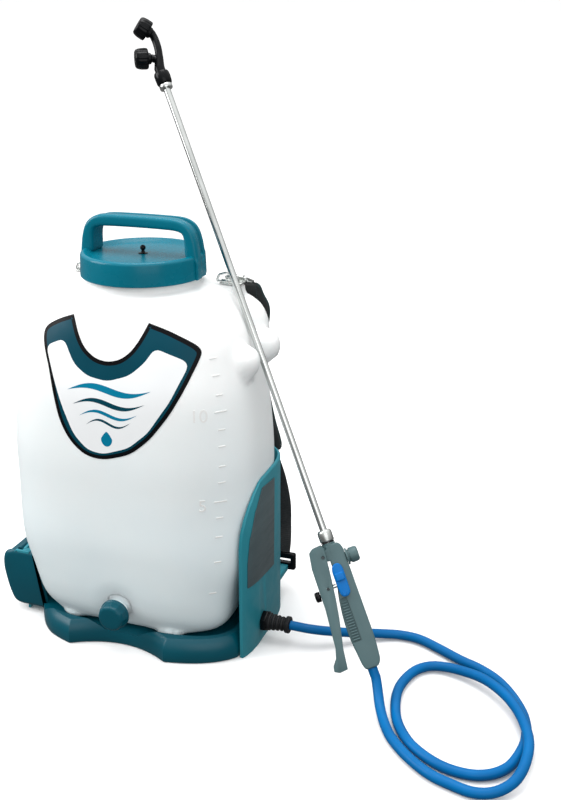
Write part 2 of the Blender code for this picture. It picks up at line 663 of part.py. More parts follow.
def make_housing():
    outside = TANK_HALF_WIDTH + HOUSING_GAP + HOUSING_WALL
    shell = housing_shell()
    clear = -outside - 0.0500
    inner = -outside + 0.0320
    cut(shell, box((clear, -0.10, BAY_FLOOR), (inner, BAY_REAR, BAY_TOP)))
    cut(shell, box((clear, -0.10, -0.01), (inner, BAY_FRONT - 0.0025, 0.0900)))
    cut(shell, box((clear, -0.12, 0.0885), (inner, LEFT_PANEL_FRONT, HOUSING_TOP + 0.04)))
    joined(shell, box((-outside + 0.0005, BAY_FRONT - 0.0025, 0.0080),
                      (LEFT_SIDE - 0.0015, BAY_REAR, BATTERY_LOW - GAP)))
    joined(shell, box((-outside + 0.0005, BAY_FRONT - 0.0025, 0.0080),
                      (LEFT_SIDE - 0.0055, BAY_FRONT, BAY_TOP + 0.0040)))
    joined(shell, box((-outside + 0.0005, BAY_FRONT - 0.0025, BAY_TOP),
                      (LEFT_SIDE - 0.0110, BAY_FRONT + 0.02, BAY_TOP + 0.0030)))
    hinge = (COVER_HINGE_X, COVER_HINGE_Z)
    lugs = ((COVER_FRONT - 0.0040, COVER_FRONT - GAP, -outside + 0.0130),
            (COVER_REAR + GAP, COVER_REAR + 0.0040, -outside + 0.0200))
    for near, far, root in lugs:
        lug = rod((hinge[0], near, hinge[1]), (hinge[0], far, hinge[1]), COVER_BEAD, sides=20)
        joined(shell, lug)
        joined(shell, box((hinge[0], near, hinge[1] - 0.0030), (root, far, hinge[1] + 0.0030)))
    front_tie = (COVER_FRONT - 0.0040, BAY_FRONT)
    joined(shell, box((-outside + 0.0030, front_tie[0], BAY_TOP + 0.0005),
                      (-outside + 0.0130, front_tie[1], COVER_HINGE_Z + 0.0030)))
    cut(shell, rod((hinge[0], -0.1, hinge[1]), (hinge[0], 0.1, hinge[1]), PIN_RADIUS + SLIDE, sides=16))
    way = (outside - 0.0300, outside + 0.0200)
    cut(shell, rod((way[0], GLAND_Y, GLAND_Z), (way[1], GLAND_Y, GLAND_Z), GLAND_RADIUS - 0.0010 + SLIDE))
    dial = (DIAL_Y, DIAL_HEIGHT)
    cut(shell, rod((-way[1], *dial), (-way[0], *dial), STEM_RADIUS + SLIDE, sides=24))
    for near in (-ANCHOR_X - 0.0120, ANCHOR_X - 0.0120):
        joined(shell, box((near, 0.0580, ANCHOR_Z), (near + 0.0240, BUCKLE_Y - GAP, ANCHOR_Z + 0.0070)))
    keep(shell, "rear_housing", CASE)
    pin_start = (hinge[0], COVER_FRONT - 0.0035, hinge[1])
    pin_end = (hinge[0], COVER_REAR + 0.0035, hinge[1])
    keep(rod(pin_start, pin_end, PIN_RADIUS, sides=16), "cover_pin", BRIGHT)


def make_side_plate():
    """A thin blank plate that follows the curve of the right panel."""
    skin = HOUSING_WALL + GAP
    low = 0.0500
    plate_skin = loft([housing_ring(low, skin + PLATE_THICK), housing_ring(HOUSING_TOP, skin + PLATE_THICK)])
    cut(plate_skin, loft([housing_ring(low - 0.01, skin), housing_ring(HOUSING_TOP + 0.01, skin)]))
    outline = (
        (PANEL_FRONT + 0.0080, 0.0883), (PANEL_FRONT + 0.0088, 0.1187), (PANEL_FRONT + 0.0138, 0.1475),
        (PANEL_FRONT + 0.0270, HOUSING_TOP - 0.0314), (PANEL_FRONT + 0.0480, HOUSING_TOP - 0.0100),
        (0.0095, HOUSING_TOP - 0.0146), (0.0067, 0.0805),
    )
    side = Matrix(((0, 0, 1, TANK_HALF_WIDTH), (1, 0, 0, 0), (0, 1, 0, 0), (0, 0, 0, 1)))
    boolean(plate_skin, plate(outline, 0.10, side), "INTERSECT")
    keep(plate_skin, "side_plate", PLATE)


def make_cover():
    stand = Matrix.Rotation(pi / 2, 4, "X")
    length = COVER_REAR - COVER_FRONT
    middle = (COVER_REAR + COVER_FRONT) / 2
    at = Matrix.Translation((0.0, middle, 0.0)) @ stand
    out = -COVER_OUT
    edge = -(TANK_HALF_WIDTH + HOUSING_GAP + HOUSING_WALL) - 0.0004
    outer = [
        (edge, 0.0075), (out + 0.0190, 0.0090), (out + 0.0110, 0.0150), (out + 0.0050, 0.0300),
        (out, 0.0560), (out + 0.0010, 0.0680), (out + 0.0060, 0.0750), (out + 0.0140, 0.0785),
        (COVER_HINGE_X - 0.0030, 0.0790), (COVER_HINGE_X, 0.0770), (edge, 0.0755),
    ]
    wall = COVER_WALL
    hollow = [
        (edge + 0.01, 0.0075 + wall), (out + 0.0200, 0.0090 + wall), (out + 0.0130, 0.0165),
        (out + wall + 0.0050, 0.0305), (out + wall, 0.0560), (out + wall + 0.0008, 0.0670),
        (out + 0.0075, 0.0725), (out + 0.0145, 0.0760), (COVER_HINGE_X, 0.0745),
        (edge + 0.01, 0.0735),
    ]
    cover = plate(outer, length, at)
    joined(cover, rod((COVER_HINGE_X, COVER_FRONT + GAP, COVER_HINGE_Z),
                      (COVER_HINGE_X, COVER_REAR - GAP, COVER_HINGE_Z), COVER_BEAD, sides=20))
    front_face = [(LEFT_SIDE - 0.0040, 0.0085), (edge - 0.0040, 0.0090), (edge - 0.0040, 0.0725),
                  (LEFT_SIDE - 0.0040, 0.0730)]
    face_at = Matrix.Translation((0.0, COVER_FRONT + wall / 2, 0.0)) @ stand
    joined(cover, plate(front_face, wall - 2 * GAP, face_at))
    cut(cover, plate(hollow, length - 2 * wall, at))
    cut(cover, rod((COVER_HINGE_X, -0.1, COVER_HINGE_Z), (COVER_HINGE_X, 0.1, COVER_HINGE_Z),
                   PIN_RADIUS + SLIDE, sides=16))
    keep(cover, "battery_cover", CASE, (COVER_HINGE_X, middle, COVER_HINGE_Z))
    low = (out + wall + 0.0070, BAY_FRONT + 0.0040, BATTERY_LOW)
    high = tuple(a + b for a, b in zip(low, BATTERY_SIZE))
    keep(baked(bevelled(box(low, high), 0.0030)), "battery", DARK)


def make_dial():
    outside = TANK_HALF_WIDTH + HOUSING_GAP + HOUSING_WALL
    way = Matrix.Translation((-outside, DIAL_Y, DIAL_HEIGHT)) @ Matrix.Rotation(-pi / 2, 4, "Y")
    dial = turned((
        (0.0, DIAL_THICK), (DIAL_RADIUS - 0.0020, DIAL_THICK), (DIAL_RADIUS - 0.0005, DIAL_THICK - 0.0015),
        (DIAL_RADIUS, 0.0025), (DIAL_RADIUS, 0.0005), (STEM_RADIUS, 0.0005),
        (STEM_RADIUS, -HOUSING_WALL), (0.0, -HOUSING_WALL),
    ), way)
    ridge = box((-outside - DIAL_THICK - 0.0020, DIAL_Y - 0.0015, DIAL_HEIGHT + 0.0020),
                (-outside - DIAL_THICK + 0.0020, DIAL_Y + 0.0015, DIAL_HEIGHT + DIAL_RADIUS - 0.0025))
    joined(dial, ridge)
    keep(dial, "pressure_dial", DARK, (-outside, DIAL_Y, DIAL_HEIGHT))


def make_pump():
    floor = BASE_LIP + GAP
    sx, sy, sz = PUMP_SIZE
    low = Vector((PUMP_X - sx / 2, PUMP_Y - sy / 2, floor))
    high = low + Vector(PUMP_SIZE)
    axis_z = floor + sz / 2
    pump = baked(bevelled(box(low, high), 0.0030))
    cut(pump, rod((low.x - 0.01, PUMP_Y, axis_z), (high.x - 0.0100, PUMP_Y, axis_z), CAM_CHAMBER))
    port = (PUMP_X, low.y + 0.0080, SUCTION_Z)
    cut(pump, rod((PUMP_X, low.y - 0.01, SUCTION_Z), port, PORT_BORE, sides=24))
    outlet = (high.x - 0.0010, PUMP_Y, floor + 0.0200)
    joined(pump, rod(outlet, (high.x + 0.0060, PUMP_Y, floor + 0.0200), PORT_RADIUS, sides=24))
    keep(pump, "pump_head", DARK)
    spout = LOWER_REAR + 0.0040 + GAP
    keep(turned((
        (PORT_RADIUS, low.y - GAP - spout), (PORT_RADIUS, 0.0), (PORT_BORE, 0.0),
        (PORT_BORE, low.y - GAP - spout),
    ), Matrix.Translation((PUMP_X, spout, SUCTION_Z)) @ Matrix.Rotation(-pi / 2, 4, "X"), 24),
        "suction_tube", RUBBER)
    face = low.x - GAP
    motor = baked(bevelled(rod((face - MOTOR_LENGTH, PUMP_Y, axis_z), (face, PUMP_Y, axis_z), MOTOR_RADIUS),
                           0.0020))
    axis = (PUMP_Y, axis_z)
    cut(motor, rod((face - 0.0100, *axis), (face + 0.01, *axis), SHAFT_RADIUS + SLIDE, sides=24))
    keep(motor, "pump_motor", BRIGHT)
    shaft = rod((face - 0.0090, PUMP_Y, axis_z), (high.x - 0.0150, PUMP_Y, axis_z), SHAFT_RADIUS, sides=24)
    cam_at = (PUMP_Y, axis_z + CAM_OFFSET)
    joined(shaft, rod((low.x + 0.0080, *cam_at), (low.x + 0.0220, *cam_at), CAM_RADIUS))
    keep(shaft, "drive_shaft", BRIGHT, (face, PUMP_Y, axis_z))
    cx, cy, cz = CONTROLLER_SIZE
    corner = Vector((0.0435 - TANK_HALF_WIDTH, 0.0440, floor))
    keep(baked(bevelled(box(corner, corner + Vector((cx, cy, cz))), 0.0020)), "controller_box", DARK)
    start = (high.x + 0.0060 + GAP, PUMP_Y, floor + 0.0200)
    half = TANK_HALF_WIDTH
    way = smooth_route((start, (half - 0.0335, PUMP_Y - 0.0010, 0.0465), (half - 0.0215, 0.0430, 0.0430),
                        (half - 0.0110, 0.0230, 0.0350), (half - 0.0090, 0.0040, 0.0280),
                        (half - 0.0090, GLAND_Y + 0.0095 + GAP, GLAND_Z)), 16)
    keep(tube(way, DELIVERY_RADIUS), "delivery_tube", RUBBER)


def make_gland():
    outside = TANK_HALF_WIDTH + HOUSING_GAP + HOUSING_WALL
    way = Matrix.Translation((outside, GLAND_Y, GLAND_Z)) @ Matrix.Rotation(pi / 2, 4, "Y")
    stem = GLAND_RADIUS - 0.0010
    length = GLAND_END - outside
    nut = 0.0065
    ribs = []
    start = length - 0.0005
    pitch = 0.0040
    count = int((length - nut - 0.0030) / pitch)
    for i in range(count):
        at = start - i * pitch
        wide = GLAND_RADIUS - 0.0022 + 0.0022 * i / count
        ribs += [(wide, at), (wide, at - pitch * 0.55), (wide - 0.0016, at - pitch * 0.6),
                 (wide - 0.0016, at - pitch * 0.95)]
    body = turned((
        (0.0, length), (ribs[0][0] - 0.0008, length), *ribs, (GLAND_RADIUS, nut + 0.0006),
        (stem, nut + 0.0006), (stem, -HOUSING_WALL - 0.0160), (0.0, -HOUSING_WALL - 0.0160),
    ), way, 18)
    keep(body, "hose_gland", RUBBER)
    start = (outside + GAP, GLAND_Y, GLAND_Z)
    ring = rod(start, (outside + nut, GLAND_Y, GLAND_Z), GLAND_NUT, sides=6)
    end = (outside + 0.0300, GLAND_Y, GLAND_Z)
    cut(ring, rod((outside - 0.0120, GLAND_Y, GLAND_Z), end, stem + SLIDE, sides=24))
    keep(ring, "gland_nut", DARK)


make_tank()
make_filler()
make_drain()
make_base()
make_housing()
make_side_plate()
make_cover()
make_dial()
make_pump()
make_gland()


def wand_frame():
    """Columns: lever side, toward the viewer, up the lance; it stands on the gun's tail."""
    up = (WAND_REST - WAND_TAIL).normalized()
    side = (WAND_SIDE - up * WAND_SIDE.dot(up)).normalized()
    out = up.cross(side)
    made = Matrix((side, out, up)).transposed().to_4x4()
    made.translation = WAND_TAIL
    return made


WAND = wand_frame()


def wand_point(e, s, n=0.0):
    return WAND @ Vector((e, n, s))


def wand_plate(points, thick, n=0.0, bevel=0.0):
    """An outline of (lever side, up the lance), with its thickness across the gun."""
    lie = Matrix(((1, 0, 0, 0), (0, 0, -1, n), (0, 1, 0, 0), (0, 0, 0, 1)))
    return plate(points, thick, WAND @ lie, bevel)


def wand_rod(start, end, radius, sides=24, tip=None):
    return rod(wand_point(*start), wand_point(*end), radius, tip, sides)


def wand_turned(profile, steps=24):
    """A profile of (radius, height) turned about the lance."""
    return turned(profile, WAND, steps)


def make_gun():
    half = BODY_THICK / 2
    neck_top = COLLAR_BASE - 0.0020
    body = wand_plate((
        (-0.0080, 0.0), (-0.0110, 0.0080), (-0.0135, 0.0300), (-0.0135, neck_top - 0.0072),
        (-0.0095, neck_top - 0.0022), (0.0045, neck_top - 0.0022), (0.0045, 0.1000), (0.0090, 0.0830),
        (0.0120, 0.0600), (0.0125, 0.0390), (0.0090, 0.0080), (0.0070, 0.0),
    ), BODY_THICK, 0.0, 0.0022)
    joined(body, wand_rod((*PIVOT, -half), (*PIVOT, half), 0.0050))
    s = PIVOT[1]
    ear = ((0.0, s - 0.0064), (0.0110, s - 0.0044), (0.0110, s + 0.0046), (0.0, s + 0.0076))
    joined(body, wand_plate(ear, BODY_THICK))
    joined(body, wand_rod((0.0, s + 0.0016), (0.0, neck_top), 0.0072))
    cut(body, wand_rod((0.0, LANCE_START - 0.0005), (0.0, COLLAR_BASE + 0.02), LANCE_RADIUS + SLIDE))
    cut(body, wand_rod((*PIVOT, -0.02), (*PIVOT, 0.02), PIN_RADIUS + SLIDE))
    cut(body, wand_rod((0.03, LINK[1]), (-0.0090, LINK[1]), ROD_RADIUS + SLIDE))
    cut(body, wand_rod((-0.02, PLUG_S), (-0.0070, PLUG_S), 0.0050 + SLIDE))
    cut(body, wand_plate(((0.0008, 0.0320), (0.0100, 0.0320), (0.0098, 0.0600), (0.0074, 0.0805),
                          (0.0008, 0.0805)), 0.01, half - 0.0015 + 0.005))
    cut(body, wand_rod((*LATCH_PIN, half - 0.0050), (*LATCH_PIN, 0.02), 0.0018 + SLIDE))
    keep(body, "gun_body", DIECAST)
    insert = wand_plate(((0.0008 + GAP, 0.0320 + GAP), (0.0100 - GAP, 0.0320 + GAP), (0.0098 - GAP, 0.0600),
                         (0.0074 - GAP, 0.0805 - GAP), (0.0008 + GAP, 0.0805 - GAP)),
                        0.0011, half - 0.0015 + GAP + 0.00055)
    keep(insert, "grip_insert", RUBBER)
    pin_half = half + CHANNEL_GAP + CHANNEL_WALL + 0.0006
    keep(wand_rod((*PIVOT, -pin_half), (*PIVOT, pin_half), PIN_RADIUS, 16), "lever_pin", BRIGHT)
    keep(wand_turned(((0.0072, COLLAR_BASE - GAP), (0.0075, COLLAR_BASE - 0.0009), (0.0072, neck_top + GAP),
                      (LANCE_RADIUS + SLIDE, neck_top + GAP), (LANCE_RADIUS + SLIDE, COLLAR_BASE - GAP))),
         "collar_seal", RUBBER)
    top = COLLAR_BASE + COLLAR_HEIGHT
    collar = wand_turned((
        (COLLAR_RADIUS - 0.0022, top), (COLLAR_RADIUS - 0.0004, top - 0.0022), (COLLAR_RADIUS, top - 0.0034),
        (COLLAR_RADIUS, COLLAR_BASE + 0.0008), (COLLAR_RADIUS - 0.0006, COLLAR_BASE),
        (LANCE_RADIUS + SLIDE, COLLAR_BASE), (LANCE_RADIUS + SLIDE, top)), 18)
    keep(collar, "collar_nut", BRIGHT, wand_point(0.0, COLLAR_BASE))


def make_lever():
    inner = BODY_THICK / 2 + CHANNEL_GAP
    outer = inner + CHANNEL_WALL
    s = PIVOT[1]
    back = ((0.0190, s + 0.0121), (0.0235, s + 0.0086), (0.0262, s - 0.0084), (0.0268, 0.0750),
            (0.0305, 0.0320), (0.0340, 0.0200), (0.0395, 0.0130), (0.0400, 0.0095))
    face = ((0.0345, 0.0065), (0.0252, 0.0075), (0.0228, 0.0280), (0.0155, 0.0620), (0.0120, 0.0830),
            (0.0085, s - 0.0164), (0.0060, s + 0.0086), (0.0085, s + 0.0131))
    lever = wand_plate((*back, *face), 2 * outer, 0.0, 0.0008)
    hollow = [(e - LEVER_WEB, s) for e, s in back[2:6]]
    top = s + 0.0091
    hollow = [(0.0200, top), *hollow, (0.0285, 0.0150), (-0.03, 0.0150), (-0.03, top)]
    cut(lever, wand_plate(hollow, 2 * inner))
    fork = ((0.0, s - 0.0084), (0.0165, s - 0.0084), (0.0165, s + 0.0316), (0.0, s + 0.0316))
    cut(lever, wand_plate(fork, 2 * inner))
    cut(lever, wand_rod((*PIVOT, -0.02), (*PIVOT, 0.02), PIN_RADIUS + SLIDE, 16))
    cut(lever, wand_rod((*LINK, -0.02), (*LINK, 0.02), 0.0013 + SLIDE, 16))
    cut(lever, wand_rod((0.02, KNOB_S), (0.04, KNOB_S), 0.0020 + SLIDE, 16))
    keep(lever, "gun_lever", DIECAST, wand_point(*PIVOT))
    keep(wand_rod((*LINK, -outer - 0.0006), (*LINK, outer + 0.0006), 0.0013, 16), "link_pin", BRIGHT)
    valve = wand_rod((LINK[0], LINK[1]), (-0.0040, LINK[1]), ROD_RADIUS)
    joined(valve, wand_rod((*LINK, -0.0035), (*LINK, 0.0035), 0.0045))
    cut(valve, wand_rod((*LINK, -0.02), (*LINK, 0.02), 0.0026, 16))
    keep(valve, "valve_rod", BRIGHT, wand_point(*LINK))
    web = 0.0266
    knob = rod(wand_point(web - LEVER_WEB, KNOB_S), wand_point(web + 0.0010, KNOB_S), 0.0020, sides=16)
    head = wand_rod((web + GAP + 0.0002, KNOB_S), (web + 0.0062, KNOB_S), KNOB_RADIUS, 18)
    joined(knob, baked(bevelled(head, 0.0008)))
    keep(knob, "lever_knob", DARK, wand_point(web, KNOB_S))
    base = BODY_THICK / 2 + GAP
    latch = wand_plate((
        (-0.0058, 0.0850), (-0.0062, 0.1120), (-0.0045, 0.1170), (0.0000, 0.1185), (0.0040, 0.1165),
        (0.0062, 0.1110), (0.0064, 0.0960), (0.0058, 0.0850), (0.0035, 0.0815), (-0.0020, 0.0810),
    ), LATCH_THICK, base + LATCH_THICK / 2, 0.0012)
    boss = base + LATCH_THICK + 0.0008
    joined(latch, wand_rod((*LATCH_PIN, base - 0.0040), (*LATCH_PIN, boss), 0.0018, 16))
    keep(latch, "lever_latch", HOSE_BLUE, wand_point(*LATCH_PIN))
    plug = turned((
        (0.0, 0.0142), (PLUG_RADIUS - 0.0015, 0.0142), (PLUG_RADIUS, 0.0128), (PLUG_RADIUS, 0.0045),
        (PLUG_RADIUS - 0.0015, 0.0040), (PLUG_RADIUS - 0.0015, 0.0028), (PLUG_RADIUS + 0.0008, 0.0022),
        (PLUG_RADIUS + 0.0008, 0.0006), (0.0050, 0.0006), (0.0050, -0.0050), (0.0, -0.0050),
    ), along(wand_point(-0.0134, PLUG_S), wand_point(-0.0136, PLUG_S)))
    keep(plug, "side_plug", DARK, wand_point(-0.0135, PLUG_S))


def make_lance():
    lance = wand_rod((0.0, LANCE_START), (0.0, LANCE_END), LANCE_RADIUS)
    flange = wand_rod((0.0, LANCE_END - 0.0010), (0.0, LANCE_END + 0.0045), 0.0075)
    joined(lance, baked(bevelled(flange, 0.0008)))
    keep(lance, "lance_tube", BRIGHT)


def nozzle_head(centre, way, name):
    """A turned cap over the end of a fork arm; returns the arm's spigot."""
    way = (WAND.to_3x3() @ Vector(way)).normalized()
    middle = wand_point(*centre)
    back = middle - way * HEAD_DEPTH / 2
    bore = SPIGOT_RADIUS + SLIDE
    deep = HEAD_DEPTH - 0.0040
    cap = turned((
        (0.0, HEAD_DEPTH - 0.0008), (0.0030, HEAD_DEPTH), (HEAD_RADIUS - 0.0035, HEAD_DEPTH),
        (HEAD_RADIUS - 0.0012, HEAD_DEPTH - 0.0020), (HEAD_RADIUS, HEAD_DEPTH - 0.0060),
        (HEAD_RADIUS, 0.0010), (HEAD_RADIUS - 0.0010, 0.0), (bore, 0.0), (bore, deep), (0.0, deep),
    ), along(back - way * 1e-4, back + way * 1e-4), 24)
    keep(cap, name, DARK, tuple(back))
    return back, way, deep


def make_nozzle():
    low = LANCE_END + 0.0045 + GAP
    top = low + UNION_HEIGHT
    nut = wand_turned((
        (UNION_RADIUS - 0.0010, top), (UNION_RADIUS, top - 0.0010), (UNION_RADIUS, low + 0.0010),
        (UNION_RADIUS - 0.0010, low), (0.0062 + SLIDE, low), (0.0062 + SLIDE, top)), 12)
    keep(nut, "union_nut", DARK, wand_point(0.0, low))
    hub = (0.0, top + 0.0080)
    fork = wand_rod((0.0, low + GAP), hub, 0.0062)
    joined(fork, ball(wand_point(*hub), (0.0075,) * 3, 16, 8))
    heads = (
        ((0.0160, LANCE_END + 0.0420, 0.0020), (1.0, 0.25, 0.22), "nozzle_cap_low"),
        ((0.0030, LANCE_END + 0.0760, 0.0020), (0.62, 0.38, 0.68), "nozzle_cap_high"),
    )
    for centre, way, name in heads:
        back, axis, deep = nozzle_head(centre, way, name)
        knee = back - axis * 0.0045
        joined(fork, rod(wand_point(*hub), knee, 0.0046, sides=16))
        joined(fork, ball(knee, (0.0058,) * 3, 16, 8))
        joined(fork, rod(knee, back + axis * (deep - GAP), SPIGOT_RADIUS, sides=24))
    keep(fork, "nozzle_fork", DARK)


def make_hose():
    tail = wand_point(0.0, -0.0005)
    ease = [wand_point(0.0, -0.0130), wand_point(0.0, -0.0065)]
    laid = [(TANK_HALF_WIDTH + x, y, z) for x, y, z in HOSE_ROUTE]
    route = smooth_route((*laid, *ease, tail), 80)
    keep(tube(route, HOSE_RADIUS, 2), "spray_hose", HOSE_BLUE)
    least = 1.0
    for i, p in enumerate(route):
        for q in route[i + 6:]:
            least = min(least, (p - q).length - 2 * HOSE_RADIUS)
    length = sum((q - p).length for p, q in zip(route, route[1:]))
    print(f"hose: length {length:.3f} m, least self-gap {least * 1000:.2f} mm")


def band(stations, power=2.6, count=16):
    """A soft flat band: stations of (centre, width, thickness), flat to the wearer's back."""
    rings = []
    for i, (centre, wide, thick) in enumerate(stations):
        before = Vector(stations[max(i - 1, 0)][0])
        after = Vector(stations[min(i + 1, len(stations) - 1)][0])
        run = (after - before).normalized()
        across = Vector((1.0, 0.0, 0.0))
        normal = run.cross(across).normalized()
        ring = []
        for j in range(count):
            t = 2 * pi * j / count
            c = cos(t)
            s = sin(t)
            u = wide / 2 * abs(c) ** (2 / power) * (1 if c >= 0 else -1)
            v = thick / 2 * abs(s) ** (2 / power) * (1 if s >= 0 else -1)
            ring.append(Vector(centre) + across * u + normal * v)
        rings.append(ring)
    return loft(rings)


def make_straps():
    for side, word in ((-1, "left"), (1, "right")):
        lug = (side * LUG_X, LUG_Y)
        low = LUG_TOP + GAP
        bx, by, bz = BRACKET_SIZE
        shift = side * 0.0020
        plate_low = (lug[0] + shift - bx / 2, lug[1] - by / 2, low)
        plate_high = (lug[0] + shift + bx / 2, lug[1] + by / 2, low + bz)
        bracket = baked(bevelled(box(plate_low, plate_high), 0.0006))
        eye = (lug[1] + 0.0125, low + 0.0034)
        hinge = (lug[1] - 0.0085, low + bz + 0.0014)
        for (y, z), half, radius in ((eye, 0.0100, 0.0034), (hinge, 0.0085, 0.0026)):
            joined(bracket, rod((lug[0] - half, y, z), (lug[0] + half, y, z), radius, sides=20))
            cut(bracket, rod((lug[0] - 0.03, y, z), (lug[0] + 0.03, y, z), RING_WIRE + SLIDE, sides=16))
        cut(bracket, rod((*lug, low - 0.01), (*lug, low + 0.01), 0.0020 + SLIDE, sides=16))
        keep(bracket, f"hook_bracket_{word}", BRIGHT)
        screw = rod((*lug, low + GAP), (*lug, low + bz + 0.0010), 0.0020, sides=16)
        joined(screw, rod((*lug, low + bz + GAP), (*lug, low + bz + 0.0042), 0.0045, sides=6))
        keep(screw, f"bracket_screw_{word}", BRIGHT)
        far = eye[0] + 0.0160
        drop = eye[1] - 0.0075
        loop = ((lug[0] - 0.0125, *eye), (lug[0] + 0.0125, *eye),
                (lug[0] + 0.0165, far, drop), (lug[0] - 0.0165, far, drop))
        keep(tube(loop, RING_WIRE, 2, True), f"strap_ring_{word}", BRIGHT)
        latch = ((lug[0] - 0.0150, *hinge), (lug[0] + 0.0120, *hinge),
                 (lug[0] + 0.0100, hinge[0], hinge[1] + 0.0060),
                 (lug[0] - 0.0020, hinge[0], hinge[1] + 0.0105),
                 (lug[0] - 0.0120, hinge[0], hinge[1] + 0.0070))
        keep(tube(latch, RING_WIRE, 2, True), f"hook_latch_{word}", BRIGHT, (lug[0], *hinge))
        make_strap(side, word, far, drop)


def make_strap(side, word, ring_y, ring_z):
    web = STRAP_THICK
    run = ANCHOR_X - PAD_X
    hold = RING_WIRE + 2 * GAP
    buckle_top = ANCHOR_Z + 0.0225
    pad = (
        (0.0, ring_y + 0.77 * hold, ring_z - 0.64 * hold, 0.0240, web * 0.6),
        (0.0, TANK_REAR - 0.0020, LUG_TOP - 0.0115, STRAP_WIDTH - 0.004, web),
        (0.0, TANK_REAR + 0.0055, LUG_TOP - 0.0235, PAD_WIDTH - 0.008, PAD_THICK - 0.003),
        (0.0, TANK_REAR + 0.0105, LUG_TOP - 0.0435, PAD_WIDTH, PAD_THICK),
        (0.0, TANK_REAR + 0.0150, LUG_TOP - 0.0835, PAD_WIDTH, PAD_THICK),
        (0.04, TANK_REAR + 0.0180, LUG_TOP - 0.1335, PAD_WIDTH, PAD_THICK),
        (0.17, TANK_REAR + 0.0210, 0.2300, PAD_WIDTH, PAD_THICK),
        (0.28, TANK_REAR + 0.0240, 0.1950, PAD_WIDTH - 0.002, PAD_THICK),
        (0.32, TANK_REAR + 0.0255, 0.1830, STRAP_WIDTH, web),
    )
    strap = (
        (0.33, TANK_REAR + 0.0257, 0.1822, STRAP_WIDTH - 0.006, web * 0.7),
        (0.54, TANK_REAR + 0.0265, 0.1500, STRAP_WIDTH, web),
        (0.74, TANK_REAR + 0.0250, 0.1150, STRAP_WIDTH, web),
        (0.80, TANK_REAR + 0.0210, 0.0850, STRAP_WIDTH, web),
        (0.90, BUCKLE_Y + 0.0085, buckle_top + 0.0150, STRAP_WIDTH, web),
        (0.95, BUCKLE_Y + 0.0040, buckle_top + 3 * GAP, STRAP_WIDTH - 0.006, web * 0.7),
    )
    for rows, name, material in ((pad, "shoulder_pad", FOAM), (strap, "strap_web", WEBBING)):
        stations = [((side * (PAD_X + run * out), y, z), wide, thick) for out, y, z, wide, thick in rows]
        keep(band(stations), f"{name}_{word}", material)
    low = (side * ANCHOR_X - BUCKLE_HALF, BUCKLE_Y, ANCHOR_Z - 0.0010)
    high = (side * ANCHOR_X + BUCKLE_HALF, BUCKLE_Y + 0.0080, buckle_top)
    buckle = baked(bevelled(box(low, high), 0.0025))
    cut(buckle, box((low[0] + 0.0060, 0.08, ANCHOR_Z + 0.0090), (high[0] - 0.0060, 0.11, ANCHOR_Z + 0.0150)))
    keep(buckle, f"strap_buckle_{word}", DARK)


def make_back_pad():
    y = TANK_REAR + GAP + 0.0003
    rings = []
    for depth, draw in ((0.0, 0.0060), (0.25, 0.0010), (0.55, 0.0), (0.85, 0.0060), (1.0, 0.0200)):
        wide = BACK_PAD_HALF - draw
        low = BACK_PAD_LOW + draw
        high = BACK_PAD_HIGH - draw
        ring = rounded_section(0.0, wide, low, high, 32, 5.0)
        rings.append([Vector((p.x, y + BACK_PAD_THICK * depth, p.y)) for p in ring])
    keep(loft(rings), "back_pad", FOAM)


make_gun()
make_lever()
make_lance()
make_nozzle()
make_hose()
make_straps()
make_back_pad()
for helper in CUTTERS.objects:
    helper.hide_render = True
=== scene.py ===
"""Looks of a cordless backpack sprayer, built round its CAD frame.

Metres, +Z up. The label faces -Y, +X is the right side of the label face, the wearer's back is at +Y.
"""

from math import cos, pi, radians, sin

import bmesh
import bpy
import numpy as np
from mathutils import Matrix, Vector
from mathutils.bvhtree import BVHTree
from mathutils.geometry import delaunay_2d_cdt


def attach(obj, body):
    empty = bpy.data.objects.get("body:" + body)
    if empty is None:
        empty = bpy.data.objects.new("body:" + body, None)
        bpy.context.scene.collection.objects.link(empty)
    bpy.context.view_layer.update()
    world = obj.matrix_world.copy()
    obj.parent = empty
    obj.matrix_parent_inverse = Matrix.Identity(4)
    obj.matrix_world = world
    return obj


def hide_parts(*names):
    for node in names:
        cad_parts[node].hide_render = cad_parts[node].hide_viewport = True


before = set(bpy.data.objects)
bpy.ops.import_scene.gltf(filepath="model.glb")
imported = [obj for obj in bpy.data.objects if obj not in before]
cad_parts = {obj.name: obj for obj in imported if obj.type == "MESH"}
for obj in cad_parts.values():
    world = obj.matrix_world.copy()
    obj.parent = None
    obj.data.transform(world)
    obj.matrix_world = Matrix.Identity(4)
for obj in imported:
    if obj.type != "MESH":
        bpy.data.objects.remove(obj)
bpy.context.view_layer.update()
scene = bpy.context.scene

# Camera, at the photo's place and angle
CAMERA_AT = (0.5503, -1.1130, 0.7253)
CAMERA_TURN = (radians(69.8957), 0.0, radians(19.1601))
CAMERA_LENS = 50.07

